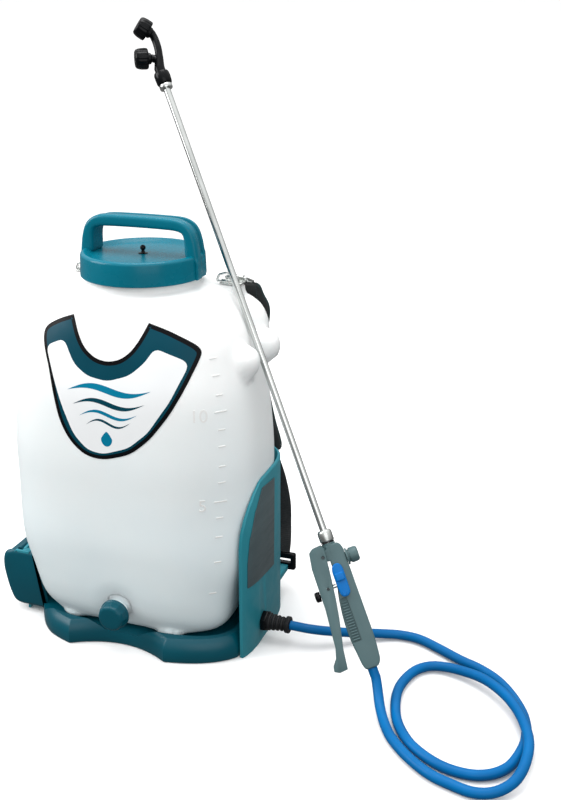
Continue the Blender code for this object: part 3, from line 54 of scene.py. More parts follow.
# Tank: height, half width, front, rear and squareness of each level ring
TANK_RINGS = (
    (0.0165, 0.0840, -0.0640, 0.0020, 3.2), (0.0178, 0.0980, -0.0770, 0.0100, 3.2),
    (0.0225, 0.1090, -0.0865, 0.0140, 3.2), (0.0320, 0.1180, -0.0940, 0.0170, 3.2),
    (0.0460, 0.1235, -0.1005, 0.0185, 3.2), (0.0640, 0.1270, -0.1050, 0.0200, 3.2),
    (0.0820, 0.1310, -0.1075, 0.0220, 3.2),
    (0.1100, 0.1390, -0.1100, 0.0260, 3.2), (0.1360, 0.1445, -0.1117, 0.0500, 3.2),
    (0.1750, 0.1485, -0.1117, 0.0830, 3.2), (0.2000, 0.1485, -0.1117, 0.0850, 3.2),
    (0.2440, 0.1475, -0.1117, 0.0850, 3.2), (0.3080, 0.140, -0.1070, 0.0850, 3.2),
    (0.3480, 0.130, -0.0980, 0.0830, 3.2), (0.3720, 0.1225, -0.0900, 0.0810, 3.2),
    (0.3880, 0.1125, -0.0830, 0.0780, 3.1), (0.4040, 0.0975, -0.0760, 0.0730, 2.9),
    (0.4130, 0.0800, -0.0690, 0.0690, 2.6), (0.4165, 0.0705, -0.0670, 0.0670, 2.2),
    (0.4195, 0.0657, -0.0655, 0.0655, 2.0), (0.4260, 0.0645, -0.0645, 0.0645, 2.0),
    (0.4430, 0.0645, -0.0645, 0.0645, 2.0),
)
# Tank's wall and neck, the blend of its swellings and the dish round the drain
TANK_WALL = 0.0025
NECK_BORE = 0.0605
NECK_TOP = 0.4430
TANK_AROUND = 240
TANK_BLEND = 0.007
CAVITY_TOP = 0.4105
NECK_START = 0.4125
SWELL_TOP = 0.4205
DISH_DEPTH = 0.0042
DISH_RADIUS = 0.036
DRAIN_HEIGHT = 0.0500

# Filler cap and its handle
CAP_RADIUS = 0.0710
CAP_RIM = 0.4276
CAP_TOP = 0.4545
CAP_FLOOR = 0.4501
CAP_CEILING = 0.4469
CAP_BORE = 0.0680
HANDLE_DEPTH = 0.0280
# Right half of the handle, from its foot to its middle: outer x and z, inner x and z
HANDLE_HALF = (
    (0.0719, 0.4278, 0.0688, 0.4278), (0.0723, 0.4284, 0.0688, 0.4284), (0.0724, 0.4320, 0.0688, 0.4320),
    (0.0724, 0.4400, 0.0688, 0.4400), (0.0722, 0.4470, 0.0682, 0.4475), (0.0717, 0.4535, 0.0580, 0.4505),
    (0.0707, 0.4610, 0.0562, 0.4570), (0.0690, 0.4700, 0.0560, 0.4650), (0.0657, 0.4797, 0.0553, 0.4720),
    (0.0600, 0.4872, 0.0532, 0.4772), (0.0510, 0.4920, 0.0470, 0.4798), (0.0400, 0.4937, 0.0385, 0.4806),
    (0.0200, 0.4942, 0.0195, 0.4810), (0.0, 0.4943, 0.0, 0.4811),
)

# Drain cap
DRAIN_FACE = -0.1270
DRAIN_FACETS = 12
# Radius, depth behind the face, and how much the facets show
DRAIN_ROWS = (
    (0.0, 0.0, 0.0), (0.0100, 0.0, 0.0), (0.0128, 0.0002, 0.0), (0.0144, 0.0010, 0.3),
    (0.0156, 0.0024, 0.8), (0.0164, 0.0044, 1.0), (0.0169, 0.0100, 1.0), (0.0170, 0.0112, 0.6),
    (0.0172, 0.0118, 0.0), (0.0178, 0.0124, 0.0), (0.0178, 0.0144, 0.0), (0.0172, 0.0150, 0.0),
    (0.0108, 0.0150, 0.0), (0.0108, 0.0080, 0.0), (0.0, 0.0080, 0.0),
)

# Base tray and housing
BASE_LIP = 0.0270
BASE_FLOOR = 0.0160
FOOT_HALF = 0.0610
FOOT_FRONT = -0.1175
SCALLOP_DEPTH = 0.0185
PANEL_FRONT = -0.0790
HOUSING_SIDE = 0.1521

# Battery cover, from its nose at the front to its tail
COVER_NOSE = -0.0690
COVER_TAIL = 0.0530
COVER_EDGE = -0.1525
COVER_RIGHT = -0.1285
NOSE_FOOT = -0.1170

# Hose gland and hose
GLAND_Y = -0.0300
GLAND_Z = 0.0240
GLAND_END = 0.1862
HOSE_RADIUS = 0.0055
HOSE_ROUTE = (
    (0.1865, -0.0300, 0.0240), (0.2120, -0.0280, 0.0225), (0.2380, -0.0170, 0.0180),
    (0.2630, -0.0010, 0.0120), (0.2870, 0.0130, 0.0078), (0.3090, 0.0205, 0.0060),
    (0.3320, 0.0185, 0.0060), (0.3586, 0.0057, 0.0060), (0.3849, -0.0088, 0.0060),
    (0.4110, -0.0205, 0.0060), (0.4349, -0.0385, 0.0060), (0.4554, -0.0662, 0.0060),
    (0.4704, -0.0984, 0.0060), (0.4755, -0.1340, 0.0060), (0.4690, -0.1710, 0.0060),
    (0.4575, -0.1910, 0.0060), (0.4407, -0.2022, 0.0060), (0.4214, -0.2047, 0.0060),
    (0.4007, -0.2005, 0.0060), (0.3790, -0.1885, 0.0060), (0.3600, -0.1710, 0.0060),
    (0.3430, -0.1430, 0.0060), (0.3335, -0.1089, 0.0060), (0.3320, -0.0790, 0.0060),
    (0.3400, -0.0490, 0.0060), (0.3545, -0.0335, 0.0063), (0.3730, -0.0310, 0.0075),
    (0.3950, -0.0365, 0.0098), (0.4195, -0.0500, 0.0135), (0.4455, -0.0765, 0.0170),
    (0.4660, -0.1085, 0.0180), (0.4795, -0.1467, 0.0178), (0.4810, -0.1800, 0.0150),
    (0.4740, -0.2065, 0.0105), (0.4582, -0.2240, 0.0075), (0.4380, -0.2295, 0.0062),
    (0.4150, -0.2245, 0.0060), (0.3930, -0.2165, 0.0060), (0.3685, -0.1990, 0.0060),
    (0.3455, -0.1750, 0.0060), (0.3320, -0.1535, 0.0070), (0.3225, -0.1345, 0.0112),
    (0.3160, -0.1195, 0.0195),
)

# Wand: gun, lance and nozzle, in a frame that stands on the gun's tail
WAND_TAIL = Vector((0.3053, -0.1061, 0.0400))
WAND_REST = Vector((0.1441, -0.0053, 0.3430))
WAND_SIDE = Vector((-0.8515, -0.4204, -0.3131))
GUN_THICK = 0.0145
LATCH_PIN = (0.0014, 0.0850)
LATCH_GAP = 0.0003
LATCH_THICK = 0.0045
KNOB_S = 0.0894
PLUG_S = 0.1208
COLLAR_BASE = 0.1432
LANCE_RADIUS = 0.0040
LANCE_END = 0.6880
HEAD_DEPTH = 0.0150
HEAD_FLUTES = (16, 0.045, 2)
KNOB_FLUTES = (12, 0.06, 1)
LOW_HEAD = ((0.0160, 0.7300, 0.0020), (1.0, 0.25, 0.22))
HIGH_HEAD = ((0.0030, 0.7640, 0.0020), (0.62, 0.38, 0.68))

# Strap lugs and the wire of the hooks
LUG_X = 0.0900
LUG_Y = 0.0420
LUG_TOP = 0.4135
WIRE = 0.0014

# Floor, backdrop, the room's light at the horizon and overhead, and lamps: name, place, size and power
FLOOR_HALF = 300.0
FLOOR_DROP = 0.0004
BACKDROP_FOOT = 40.0
BACKDROP_RIM = 240.0
BACKDROP_HEIGHT = 120.0
BACKDROP_MIDDLE = 59.0
ROOM_LIGHT = (0.22, 1.70)
LAMP_AIM = (0.1, -0.02, 0.22)
LAMPS = (
    ("key", (-1.7, -0.7, 1.3), 1.2, 30.0), ("top", (-0.1, 0.2, 2.2), 1.2, 22.0),
    ("fill", (1.2, -1.8, 1.0), 1.8, 14.0),
)

# Litre marks: heights, and their direction from the tank's middle, which leans with the height
MARK_LEVELS = (0.3592, 0.3415, 0.3212, 0.3035, 0.2838, 0.2651, 0.2427, 0.2240, 0.2013, 0.1820, 0.1590,
               0.1282, 0.0866)
MARK_TURN = -0.5450
MARK_LEAN = 0.48
MARK_MIDDLE = 0.2006
LONG_MARKS = (3, 8)

# Label: thickness of its ink, its outline and the notch in its top edge, as (x, z) on the tank's front
INK = 0.0001
SHIELD = (
    (-0.0485, 0.3955), (-0.0665, 0.3892), (-0.0850, 0.3790), (-0.0855, 0.3660), (-0.0720, 0.3344),
    (-0.0578, 0.2809), (-0.0454, 0.2596), (-0.0269, 0.2448), (-0.0047, 0.2420), (0.0285, 0.2523),
    (0.0522, 0.2722), (0.0745, 0.3019), (0.0886, 0.3287), (0.1001, 0.3587), (0.1015, 0.3680),
    (0.0930, 0.3757), (0.0663, 0.3875), (0.0424, 0.3943),
)
SHIELD_NOTCH = (
    (0.0348, 0.3769), (0.0262, 0.3641), (0.0142, 0.3548), (-0.0010, 0.3513), (-0.0157, 0.3540),
    (-0.0291, 0.3630), (-0.0382, 0.3754),
)


def camera():
    data = bpy.data.cameras.new("camera")
    data.lens = CAMERA_LENS
    data.sensor_width = 36.0
    made = bpy.data.objects.new("camera", data)
    scene.collection.objects.link(made)
    made.location = CAMERA_AT
    made.rotation_euler = CAMERA_TURN
    scene.camera = made


def between(rows, steps):
    """Rows of numbers with Catmull-Rom rows put in between."""
    rows = np.array(rows, float)
    ends = np.vstack((2 * rows[0] - rows[1], rows, 2 * rows[-1] - rows[-2]))
    made = []
    for a, b, c, d in zip(ends, ends[1:], ends[2:], ends[3:]):
        for i in range(steps):
            t = i / steps
            made.append(0.5 * (2 * b + (c - a) * t + (2 * a - 5 * b + 4 * c - d) * t * t
                               + (3 * b - a - 3 * c + d) * t ** 3))
    made.append(rows[-1])
    return made


def smooth_route(points, count):
    """Evenly spaced points on a smooth curve through given points."""
    fine = [Vector(row) for row in between([tuple(p) for p in points], 12)]
    reach = [0.0]
    for p, q in zip(fine, fine[1:]):
        reach.append(reach[-1] + (q - p).length)
    made = []
    at = 0
    for i in range(count):
        want = reach[-1] * i / (count - 1)
        while at < len(fine) - 2 and reach[at + 1] < want:
            at += 1
        span = reach[at + 1] - reach[at]
        made.append(fine[at].lerp(fine[at + 1], min(1.0, (want - reach[at]) / span)))
    return made


def wand_matrix():
    """Columns: lever side, toward the viewer, up the lance."""
    up = (WAND_REST - WAND_TAIL).normalized()
    side = (WAND_SIDE - up * WAND_SIDE.dot(up)).normalized()
    made = Matrix((side, up.cross(side), up)).transposed().to_4x4()
    made.translation = WAND_TAIL
    return made


WAND = wand_matrix()


def wand_point(e, s, n=0.0):
    return WAND @ Vector((e, n, s))


# Shader building
def link(tree, start, end):
    tree.links.new(start, end)


def fill(tree, target, **inputs):
    """Gives a node's inputs a value or another node's output."""
    for key, value in inputs.items():
        socket = target.inputs[key.replace("_", " ")]
        if isinstance(value, bpy.types.NodeSocket):
            link(tree, value, socket)
        else:
            socket.default_value = value
    return target


def shader_node(tree, kind, **inputs):
    return fill(tree, tree.nodes.new(kind), **inputs)


def shader_of(name):
    made = bpy.data.materials.new(name)
    made.use_nodes = True
    tree = made.node_tree
    return made, tree, tree.nodes["Principled BSDF"]


def coordinates(tree, stretch=(1.0, 1.0, 1.0)):
    place = shader_node(tree, "ShaderNodeTexCoord")
    mapping = shader_node(tree, "ShaderNodeMapping", Vector=place.outputs["Object"], Scale=stretch)
    return mapping.outputs["Vector"]


def noise(tree, where, scale, detail=3.0):
    return shader_node(tree, "ShaderNodeTexNoise", Vector=where, Scale=scale, Detail=detail).outputs["Fac"]


def ranged(tree, value, low, high, source=(0.3, 0.7)):
    """A value taken from a source range to the range from low to high."""
    made = shader_node(tree, "ShaderNodeMapRange", Value=value, From_Min=source[0], From_Max=source[1],
                       To_Min=low, To_Max=high)
    return made.outputs["Result"]


def mixed(tree, factor, first, second):
    """Two colours, or a colour and a colour socket, mixed by a factor socket."""
    made = shader_node(tree, "ShaderNodeMix")
    made.data_type = "RGBA"
    link(tree, factor, made.inputs[0])
    for value, socket in ((first, made.inputs[6]), (second, made.inputs[7])):
        if isinstance(value, tuple):
            socket.default_value = (*value, 1.0)
        else:
            link(tree, value, socket)
    return made.outputs[2]


def bumped(tree, shader, height, strength, distance):
    made = shader_node(tree, "ShaderNodeBump", Strength=strength, Distance=distance, Height=height)
    link(tree, made.outputs["Normal"], shader.inputs["Normal"])


def sine(tree, where, axis, period):
    """A wave from 0 to 1 along one coordinate."""
    split = shader_node(tree, "ShaderNodeSeparateXYZ", Vector=where)
    scaled = shader_node(tree, "ShaderNodeMath")
    scaled.operation = "MULTIPLY"
    scaled.inputs[1].default_value = 2 * pi / period
    link(tree, split.outputs[axis], scaled.inputs[0])
    wave = shader_node(tree, "ShaderNodeMath")
    wave.operation = "SINE"
    link(tree, scaled.outputs[0], wave.inputs[0])
    return ranged(tree, wave.outputs[0], 0.0, 1.0, (-1.0, 1.0))


def look(name, light, dark, rough, spread=0.06, mottle=18.0, grain=1400.0, bump=0.05,
         metal=0.0, coat=0.0, shine=0.3, stretch=(1.0, 1.0, 1.0)):
    """A moulded, cast or drawn surface: mottled tone, uneven gloss and a fine grain."""
    made, tree, shader = shader_of(name)
    where = coordinates(tree, stretch)
    tone = ranged(tree, noise(tree, where, mottle), 0.0, 1.0)
    patch = noise(tree, where, mottle * 3.0)
    fill(tree, shader, Base_Color=mixed(tree, tone, dark, light), Metallic=metal, Specular_IOR_Level=shine,
         Roughness=ranged(tree, patch, rough - spread, rough + spread), Coat_Weight=coat, Coat_Roughness=0.12)
    bumped(tree, shader, noise(tree, where, grain, 2.0), bump, 0.0003)
    return made


def milky_look():
    """Blow-moulded polyethylene, clouded, and a little greyer toward the bottom as painted shade."""
    made, tree, shader = shader_of("milky_tank")
    where = coordinates(tree)
    split = shader_node(tree, "ShaderNodeSeparateXYZ", Vector=where)
    # Painted shade: below 0.36 m the tank turns greyer and bluer toward its bottom, where it lies dimmer.
    height = ranged(tree, split.outputs["Z"], 0.0, 1.0, (0.05, 0.36))
    cloud = ranged(tree, noise(tree, where, 10.0), 0.0, 1.0)
    low = mixed(tree, cloud, (0.74, 0.84, 0.87), (0.78, 0.87, 0.89))
    high = mixed(tree, cloud, (0.90, 0.93, 0.93), (0.93, 0.95, 0.94))
    fill(tree, shader, Base_Color=mixed(tree, height, low, high), Specular_IOR_Level=0.3,
         Roughness=ranged(tree, noise(tree, where, 60.0), 0.34, 0.46), Subsurface_Weight=0.6,
         Subsurface_Radius=(0.030, 0.032, 0.032))
    bumped(tree, shader, noise(tree, where, 260.0), 0.06, 0.0006)
    return made


def woven_look(name, light, dark, along, across):
    """Webbing or cloth: ribs that run along one coordinate, crossed by finer threads."""
    made, tree, shader = shader_of(name)
    where = coordinates(tree)
    product = shader_node(tree, "ShaderNodeMath")
    product.operation = "MULTIPLY"
    link(tree, sine(tree, where, "Z", along), product.inputs[0])
    link(tree, sine(tree, where, "X", across), product.inputs[1])
    worn = noise(tree, where, 70.0)
    base = mixed(tree, product.outputs[0], dark, light)
    dusty = tuple(0.6 * v + 0.02 for v in light)
    fill(tree, shader, Base_Color=mixed(tree, ranged(tree, worn, 0.0, 0.6), base, dusty),
         Roughness=ranged(tree, worn, 0.72, 0.92), Sheen_Weight=0.15)
    bumped(tree, shader, product.outputs[0], 0.5, 0.0006)
    return made


MILKY = milky_look()
TEAL = look("teal_cap", (0.0, 0.148, 0.214), (0.0, 0.134, 0.194), 0.27, grain=1800.0, coat=0.05, shine=0.18)
# Painted shade: the cap's teal plastic made darker for the low pieces (base tray, battery cover, drain cap),
# which lie in shadow.
TEAL_SHADED = look("teal_shaded", (0.0, 0.070, 0.100), (0.0, 0.062, 0.090), 0.34, grain=1800.0, shine=0.24)
TEAL_SIDE = look("teal_side", (0.026, 0.238, 0.298), (0.018, 0.212, 0.268), 0.42, grain=1500.0, bump=0.09)
BLACK = look("black_plastic", (0.003, 0.004, 0.005), (0.002, 0.002, 0.003), 0.22, grain=1200.0, shine=0.14)
RUBBER = look("black_rubber", (0.010, 0.010, 0.011), (0.006, 0.006, 0.007), 0.58, grain=900.0, bump=0.12)
DIECAST = look("diecast_grey", (0.078, 0.136, 0.144), (0.062, 0.114, 0.122), 0.40, grain=700.0, bump=0.16)
GRIP = look("grip_grey", (0.052, 0.092, 0.098), (0.040, 0.076, 0.082), 0.62, grain=900.0, bump=0.12)
STEEL = look("bright_steel", (0.62, 0.64, 0.63), (0.50, 0.52, 0.51), 0.14, 0.05, 40.0, 800.0, 0.04, 1.0)
SATIN = look("satin_steel", (0.58, 0.60, 0.58), (0.46, 0.48, 0.47), 0.28, 0.07, 60.0, 900.0, 0.10, 1.0)
DARK_STEEL = look("dark_steel", (0.050, 0.058, 0.062), (0.032, 0.037, 0.040), 0.34, 0.07, 60.0, metal=1.0)
HOSE_BLUE = look("hose_blue", (0.0, 0.124, 0.350), (0.0, 0.106, 0.304), 0.38, mottle=26.0, grain=1100.0,
                 shine=0.12)
LATCH_BLUE = look("latch_blue", (0.0, 0.140, 0.450), (0.0, 0.122, 0.400), 0.34, grain=1300.0, shine=0.15)
WHITE = look("white_plastic", (0.86, 0.87, 0.86), (0.80, 0.81, 0.80), 0.42)
PLATE = look("grey_plate", (0.072, 0.104, 0.112), (0.056, 0.082, 0.090), 0.44, mottle=60.0,
             stretch=(1.0, 0.15, 1.0))
WEBBING = woven_look("strap_webbing", (0.022, 0.023, 0.024), (0.005, 0.005, 0.006), 0.0022, 0.0011)
FABRIC = woven_look("strap_cover", (0.010, 0.018, 0.019), (0.004, 0.006, 0.007), 0.0014, 0.0014)
PIPING = woven_look("strap_binding", (0.008, 0.050, 0.055), (0.003, 0.020, 0.023), 0.0012, 0.0012)
LABEL_BLACK = look("label_black", (0.003, 0.003, 0.004), (0.002, 0.002, 0.003), 0.40, shine=0.08)
LABEL_DEEP = look("label_deep_teal", (0.0, 0.050, 0.078), (0.0, 0.042, 0.066), 0.38, shine=0.10)
LABEL_TEAL = look("label_teal", (0.0, 0.190, 0.320), (0.0, 0.170, 0.290), 0.38, shine=0.12)
LABEL_WHITE = look("label_white", (0.86, 0.88, 0.89), (0.83, 0.85, 0.86), 0.36, coat=0.1)


# Mesh building
def mesh_object(name, points, faces):
    mesh = bpy.data.meshes.new(name)
    mesh.from_pydata([tuple(p) for p in points], [], faces)
    bm = bmesh.new()
    bm.from_mesh(mesh)
    bmesh.ops.remove_doubles(bm, verts=bm.verts, dist=1e-6)
    bpy.data.meshes.remove(mesh)
    return bm_object(name, bm)


def bm_object(name, bm, turned_out=True):
    if turned_out:
        bmesh.ops.recalc_face_normals(bm, faces=bm.faces)
        if bm.calc_volume(signed=True) < 0:
            bmesh.ops.reverse_faces(bm, faces=bm.faces)
    mesh = bpy.data.meshes.new(name)
    bm.to_mesh(mesh)
    bm.free()
    made = bpy.data.objects.new(name, mesh)
    scene.collection.objects.link(made)
    return made


def loft(name, rings, ends=True):
    """A skin through rings of equal count, shut at both ends."""
    count = len(rings[0])
    points = [p for ring in rings for p in ring]
    faces = []
    for r in range(len(rings) - 1):
        for i in range(count):
            j = (i + 1) % count
            faces.append((r * count + i, r * count + j, (r + 1) * count + j, (r + 1) * count + i))
    if ends:
        faces.append(tuple(range(count)))
        faces.append(tuple((len(rings) - 1) * count + i for i in range(count)))
    return mesh_object(name, points, faces)


def turned(name, profile, matrix=Matrix.Identity(4), steps=64, shape=None):
    """A profile turned about local Z; it closes on itself if it misses the axis.

    Its rows are (radius, height), or (radius, height, share) where a share of the shape shows.
    """
    hollow = profile[0][0] > 0 and profile[-1][0] > 0
    rows = [*profile, profile[0]] if hollow else profile
    rings = []
    for radius, height, *share in rows:
        ring = []
        for i in range(steps):
            t = 2 * pi * i / steps
            size = radius * (1.0 - share[0] + share[0] * shape(t)) if share else radius
            ring.append(matrix @ Vector((size * cos(t), size * sin(t), height)))
        rings.append(ring)
    return loft(name, rings, False)


def fluted(name, profile, matrix, steps, flutes, least):
    """A turned profile with flutes, as (count, depth, power), where it is wider than a least radius."""
    count, depth, power = flutes
    rows = [(radius, height, 1.0 if radius > least else 0.0) for radius, height in profile]
    return turned(name, rows, matrix, steps, lambda t: 1.0 - depth * (0.5 + 0.5 * cos(count * t)) ** power)


def arc(centre, radius, start, end, count):
    """Points of (radius, height) on an arc between two angles in degrees."""
    made = []
    for i in range(count + 1):
        t = radians(start + (end - start) * i / count)
        made.append((centre[0] + radius * cos(t), centre[1] + radius * sin(t)))
    return made


def rounded(outline, radius, steps=5):
    """A closed outline with its corners rounded."""
    made = []
    count = len(outline)
    for i in range(count):
        a = Vector(outline[i - 1])
        b = Vector(outline[i])
        c = Vector(outline[(i + 1) % count])
        size = radius[i] if isinstance(radius, (list, tuple)) else radius
        before = b.lerp(a, min(0.45, size / max((a - b).length, 1e-9)))
        after = b.lerp(c, min(0.45, size / max((c - b).length, 1e-9)))
        for k in range(steps + 1):
            t = k / steps
            made.append((1 - t) ** 2 * before + 2 * t * (1 - t) * b + t * t * after)
    return made


def soften(bm, width, segments, angle):
    edges = [e for e in bm.edges if e.is_manifold and e.calc_face_angle(0.0) > radians(angle)]
    bmesh.ops.bevel(bm, geom=edges, offset=width, segments=segments, profile=0.5, affect="EDGES",
                    clamp_overlap=True)


def prism(name, outline, thick, matrix, edge=0.0, segments=3, angle=30):
    """An outline with half its thickness on each side of local XY, its edges rounded."""
    bm = bmesh.new()
    low = [bm.verts.new((p[0], p[1], -thick / 2)) for p in outline]
    high = [bm.verts.new((p[0], p[1], thick / 2)) for p in outline]
    for i in range(len(low)):
        j = (i + 1) % len(low)
        bm.faces.new((low[i], low[j], high[j], high[i]))
    bm.faces.new(low)
    bm.faces.new(high)
    bmesh.ops.recalc_face_normals(bm, faces=bm.faces)
    if edge:
        soften(bm, edge, segments, angle)
    bm.transform(matrix)
    return bm_object(name, bm)


def block(name, low, high, edge, segments=3):
    low = Vector(low)
    high = Vector(high)
    bm = bmesh.new()
    bmesh.ops.create_cube(bm, size=1.0)
    bm.transform(Matrix.Translation((low + high) / 2) @ Matrix.Diagonal((*(high - low), 1.0)))
    soften(bm, edge, segments, 30)
    return bm_object(name, bm)


def along(start, end):
    """A matrix at the start with local Z toward the end."""
    start = Vector(start)
    turn = (Vector(end) - start).to_track_quat("Z", "Y").to_matrix().to_4x4()
    return Matrix.Translation(start) @ turn


def tube(name, points, radius, sides=16, cyclic=False):
    """A round tube along points, of one radius or of a radius at each point."""
    points = [Vector(p) for p in points]
    count = len(points)
    radii = radius if isinstance(radius, (list, tuple)) else [radius] * count
    rings = []
    normal = None
    for i, p in enumerate(points):
        before = points[i - 1] if cyclic or i else p
        after = points[(i + 1) % count] if cyclic or i < count - 1 else p
        run = (after - before).normalized()
        if normal is None:
            normal = run.orthogonal()
        normal = (normal - run * normal.dot(run)).normalized()
        other = run.cross(normal)
        ring = []
        for k in range(sides):
            t = 2 * pi * k / sides
            ring.append(p + (normal * cos(t) + other * sin(t)) * radii[i])
        rings.append(ring)
    if cyclic:
        start = rings[0]
        shift = min(range(sides), key=lambda k: (start[k] - rings[-1][0]).length)
        rings.append(start[shift:] + start[:shift])
    return loft(name, rings, not cyclic)


def merged(name, *objects):
    """Several meshes as one object."""
    bm = bmesh.new()
    for obj in objects:
        bm.from_mesh(obj.data)
        bpy.data.objects.remove(obj)
    return bm_object(name, bm, False)


def boolean(target, other, operation="DIFFERENCE"):
    modifier = target.modifiers.new("cut", "BOOLEAN")
    modifier.operation = operation
    modifier.solver = "EXACT"
    modifier.object = other
    bpy.context.view_layer.update()
    graph = bpy.context.evaluated_depsgraph_get()
    mesh = bpy.data.meshes.new_from_object(target.evaluated_get(graph))
    target.modifiers.clear()
    target.data = mesh
    bpy.data.objects.remove(other)
    return target


def refined(node, name, width, segments=2, angle=32):
    """A piece with a CAD node's shape, its flat faces joined and its sharp edges rounded."""
    made = bpy.data.objects.new(name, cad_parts[node].data.copy())
    scene.collection.objects.link(made)
    bm = bmesh.new()
    bm.from_mesh(made.data)
    bmesh.ops.remove_doubles(bm, verts=bm.verts, dist=2e-6)
    bmesh.ops.dissolve_limit(bm, angle_limit=radians(1.5), verts=bm.verts, edges=bm.edges)
    soften(bm, width, segments, angle)
    bm.to_mesh(made.data)
    bm.free()
    return made


def piece(obj, body, material, slot, *nodes, sharp=38):
    """Gives an object its finish and its body, and hides the CAD nodes that it stands for."""
    obj.data.materials.clear()
    obj.data.materials.append(material)
    if obj.type == "MESH":
        obj.data.polygons.foreach_set("use_smooth", [True] * len(obj.data.polygons))
        obj.data.polygons.foreach_set("material_index", [0] * len(obj.data.polygons))
        obj.data.set_sharp_from_angle(angle=radians(sharp))
    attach(obj, body)
    if nodes:
        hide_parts(*nodes)
    return obj


def carry(material, slot, *nodes):
    """CAD nodes that stay in the picture, in a better finish."""
    for node in nodes:
        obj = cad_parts[node]
        obj.data.materials.clear()
        obj.data.materials.append(material)


camera()


# Hose
def make_hose():
    ease = [wand_point(0.0, -0.0130), wand_point(0.0, -0.0065), wand_point(0.0, -0.0005)]
    route = smooth_route((*HOSE_ROUTE, *ease), 220)
    data = bpy.data.curves.new("hose", "CURVE")
    data.dimensions = "3D"
    data.bevel_depth = HOSE_RADIUS
    data.bevel_resolution = 5
    data.use_fill_caps = True
    spline = data.splines.new("POLY")
    spline.points.add(len(route) - 1)
    for point, co in zip(spline.points, route):
        point.co = (*co, 1.0)
    spline.use_smooth = True
    hose = bpy.data.objects.new("hose", data)
    scene.collection.objects.link(hose)
    data.materials.append(HOSE_BLUE)
    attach(hose, "sprayer")
    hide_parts("spray_hose")


make_hose()


# Tank
def even_ring(z, half, front, rear, power, count):
    """A level ring between an ellipse and a rectangle, with evenly spaced points."""
    t = np.linspace(0.0, 2 * pi, 2881)
    c = np.cos(t)
    s = np.sin(t)
    x = half * np.sign(c) * np.abs(c) ** (2 / power)
    y = (front + rear) / 2 + (rear - front) / 2 * np.sign(s) * np.abs(s) ** (2 / power)
    reach = np.concatenate(([0.0], np.cumsum(np.hypot(np.diff(x), np.diff(y)))))
    want = np.linspace(0.0, reach[-1], count, endpoint=False)
    return np.column_stack((np.interp(want, reach, x), np.interp(want, reach, y), np.full(count, z)))


def grid_normals(grid):
    """Outward normals of a grid of rings."""
    around = np.roll(grid, -1, 1) - np.roll(grid, 1, 1)
    up = np.gradient(grid, axis=0)
    normal = np.cross(around, up)
    return normal / np.maximum(np.linalg.norm(normal, axis=2, keepdims=True), 1e-9)


def lump_reach(grid, normal, centre, radii, power):
    """How far each point would move out along its normal to lie on a rounded lump."""
    radii = np.array(radii)
    start = (grid - np.array(centre)) / radii
    step = normal / radii
    far = np.full(grid.shape[:2], -1.0)
    for t in np.linspace(0.0, 0.05, 101):
        size = (np.abs(start + step * t) ** power).sum(2)
        far = np.where(size < 1.0, t, far)
    gap = (np.abs(start) ** power).sum(2) ** (1 / power) - 1.0
    return np.where(far >= 0.0, far, -gap * radii.min())


def soft_max(a, b, blend):
    near = np.clip(1.0 - np.abs(a - b) / blend, 0.0, 1.0)
    return np.maximum(a, b) + near * near * blend / 4


def dome(distance, radius):
    t = np.clip(1.0 - distance / radius, 0.0, 1.0)
    return t * t * (3.0 - 2.0 * t)


def make_tank():
    rows = between(TANK_RINGS, 6)
    grid = np.array([even_ring(*row, TANK_AROUND) for row in rows])
    normal = grid_normals(grid)
    lumps = [
        ((0.1300, -0.0270, 0.3440), (0.0185, 0.0185, 0.0180), 2.2),
        ((0.1330, 0.0330, 0.3460), (0.0180, 0.0180, 0.0190), 2.2),
        ((-0.0700, -0.0740, 0.0230), (0.0180, 0.0160, 0.0070), 2.0),
        ((0.0560, -0.0790, 0.0230), (0.0200, 0.0160, 0.0070), 2.0),
    ]
    for side in (-1, 1):
        lumps.append(((side * 0.0900, 0.0490, 0.3560), (0.0415, 0.0300, 0.0455), 2.2))
        lumps.append(((side * LUG_X, LUG_Y, 0.4030), (0.0135, 0.0135, 0.0103), 5.0))
    swell = np.zeros(grid.shape[:2])
    for centre, radii, power in lumps:
        swell = soft_max(swell, lump_reach(grid, normal, centre, radii, power), TANK_BLEND)
    front = grid[:, :, 1] < -0.05
    away = np.hypot(grid[:, :, 0], grid[:, :, 2] - DRAIN_HEIGHT - 0.004)
    swell -= np.where(front, DISH_DEPTH * dome(away, DISH_RADIUS), 0.0)
    top = grid[:, :, 2] > SWELL_TOP
    grid = grid + normal * np.where(top, 0.0, swell)[:, :, None]
    rings = [list(map(Vector, ring)) for ring in grid]
    inner = []
    for z, half, front_y, rear_y, power in TANK_RINGS[1:-3]:
        z = min(max(z, TANK_RINGS[0][0] + TANK_WALL), CAVITY_TOP)
        inner.append((z, half - TANK_WALL, front_y + TANK_WALL, rear_y - TANK_WALL, power))
    inner += [(z, NECK_BORE, -NECK_BORE, NECK_BORE, 2.0) for z in (NECK_START, NECK_TOP)]
    rings += [list(map(Vector, even_ring(*row, TANK_AROUND))) for row in inner[::-1]]
    shell = loft("tank_shell", rings)
    spout = along((0.0, -0.1000, DRAIN_HEIGHT), (0.0, -0.1210, DRAIN_HEIGHT))
    profile = ((0.0060, 0.0), (0.0100, 0.0), (0.0100, 0.0175), (0.0096, 0.0180), (0.0060, 0.0180))
    neck = turned("spout", profile, spout, 48)
    shell = merged("tank_shell", shell, neck)
    piece(shell, "sprayer", MILKY, "milky_tank", "tank", sharp=50)
    return shell


TANK = make_tank()
SKIN = BVHTree.FromObject(TANK, bpy.context.evaluated_depsgraph_get())


def on_front(x, z, lift):
    """The tank's front skin at (x, z), lifted off it."""
    place, normal, _, _ = SKIN.ray_cast(Vector((x, -0.2, z)), Vector((0.0, 1.0, 0.0)))
    return place + normal * lift


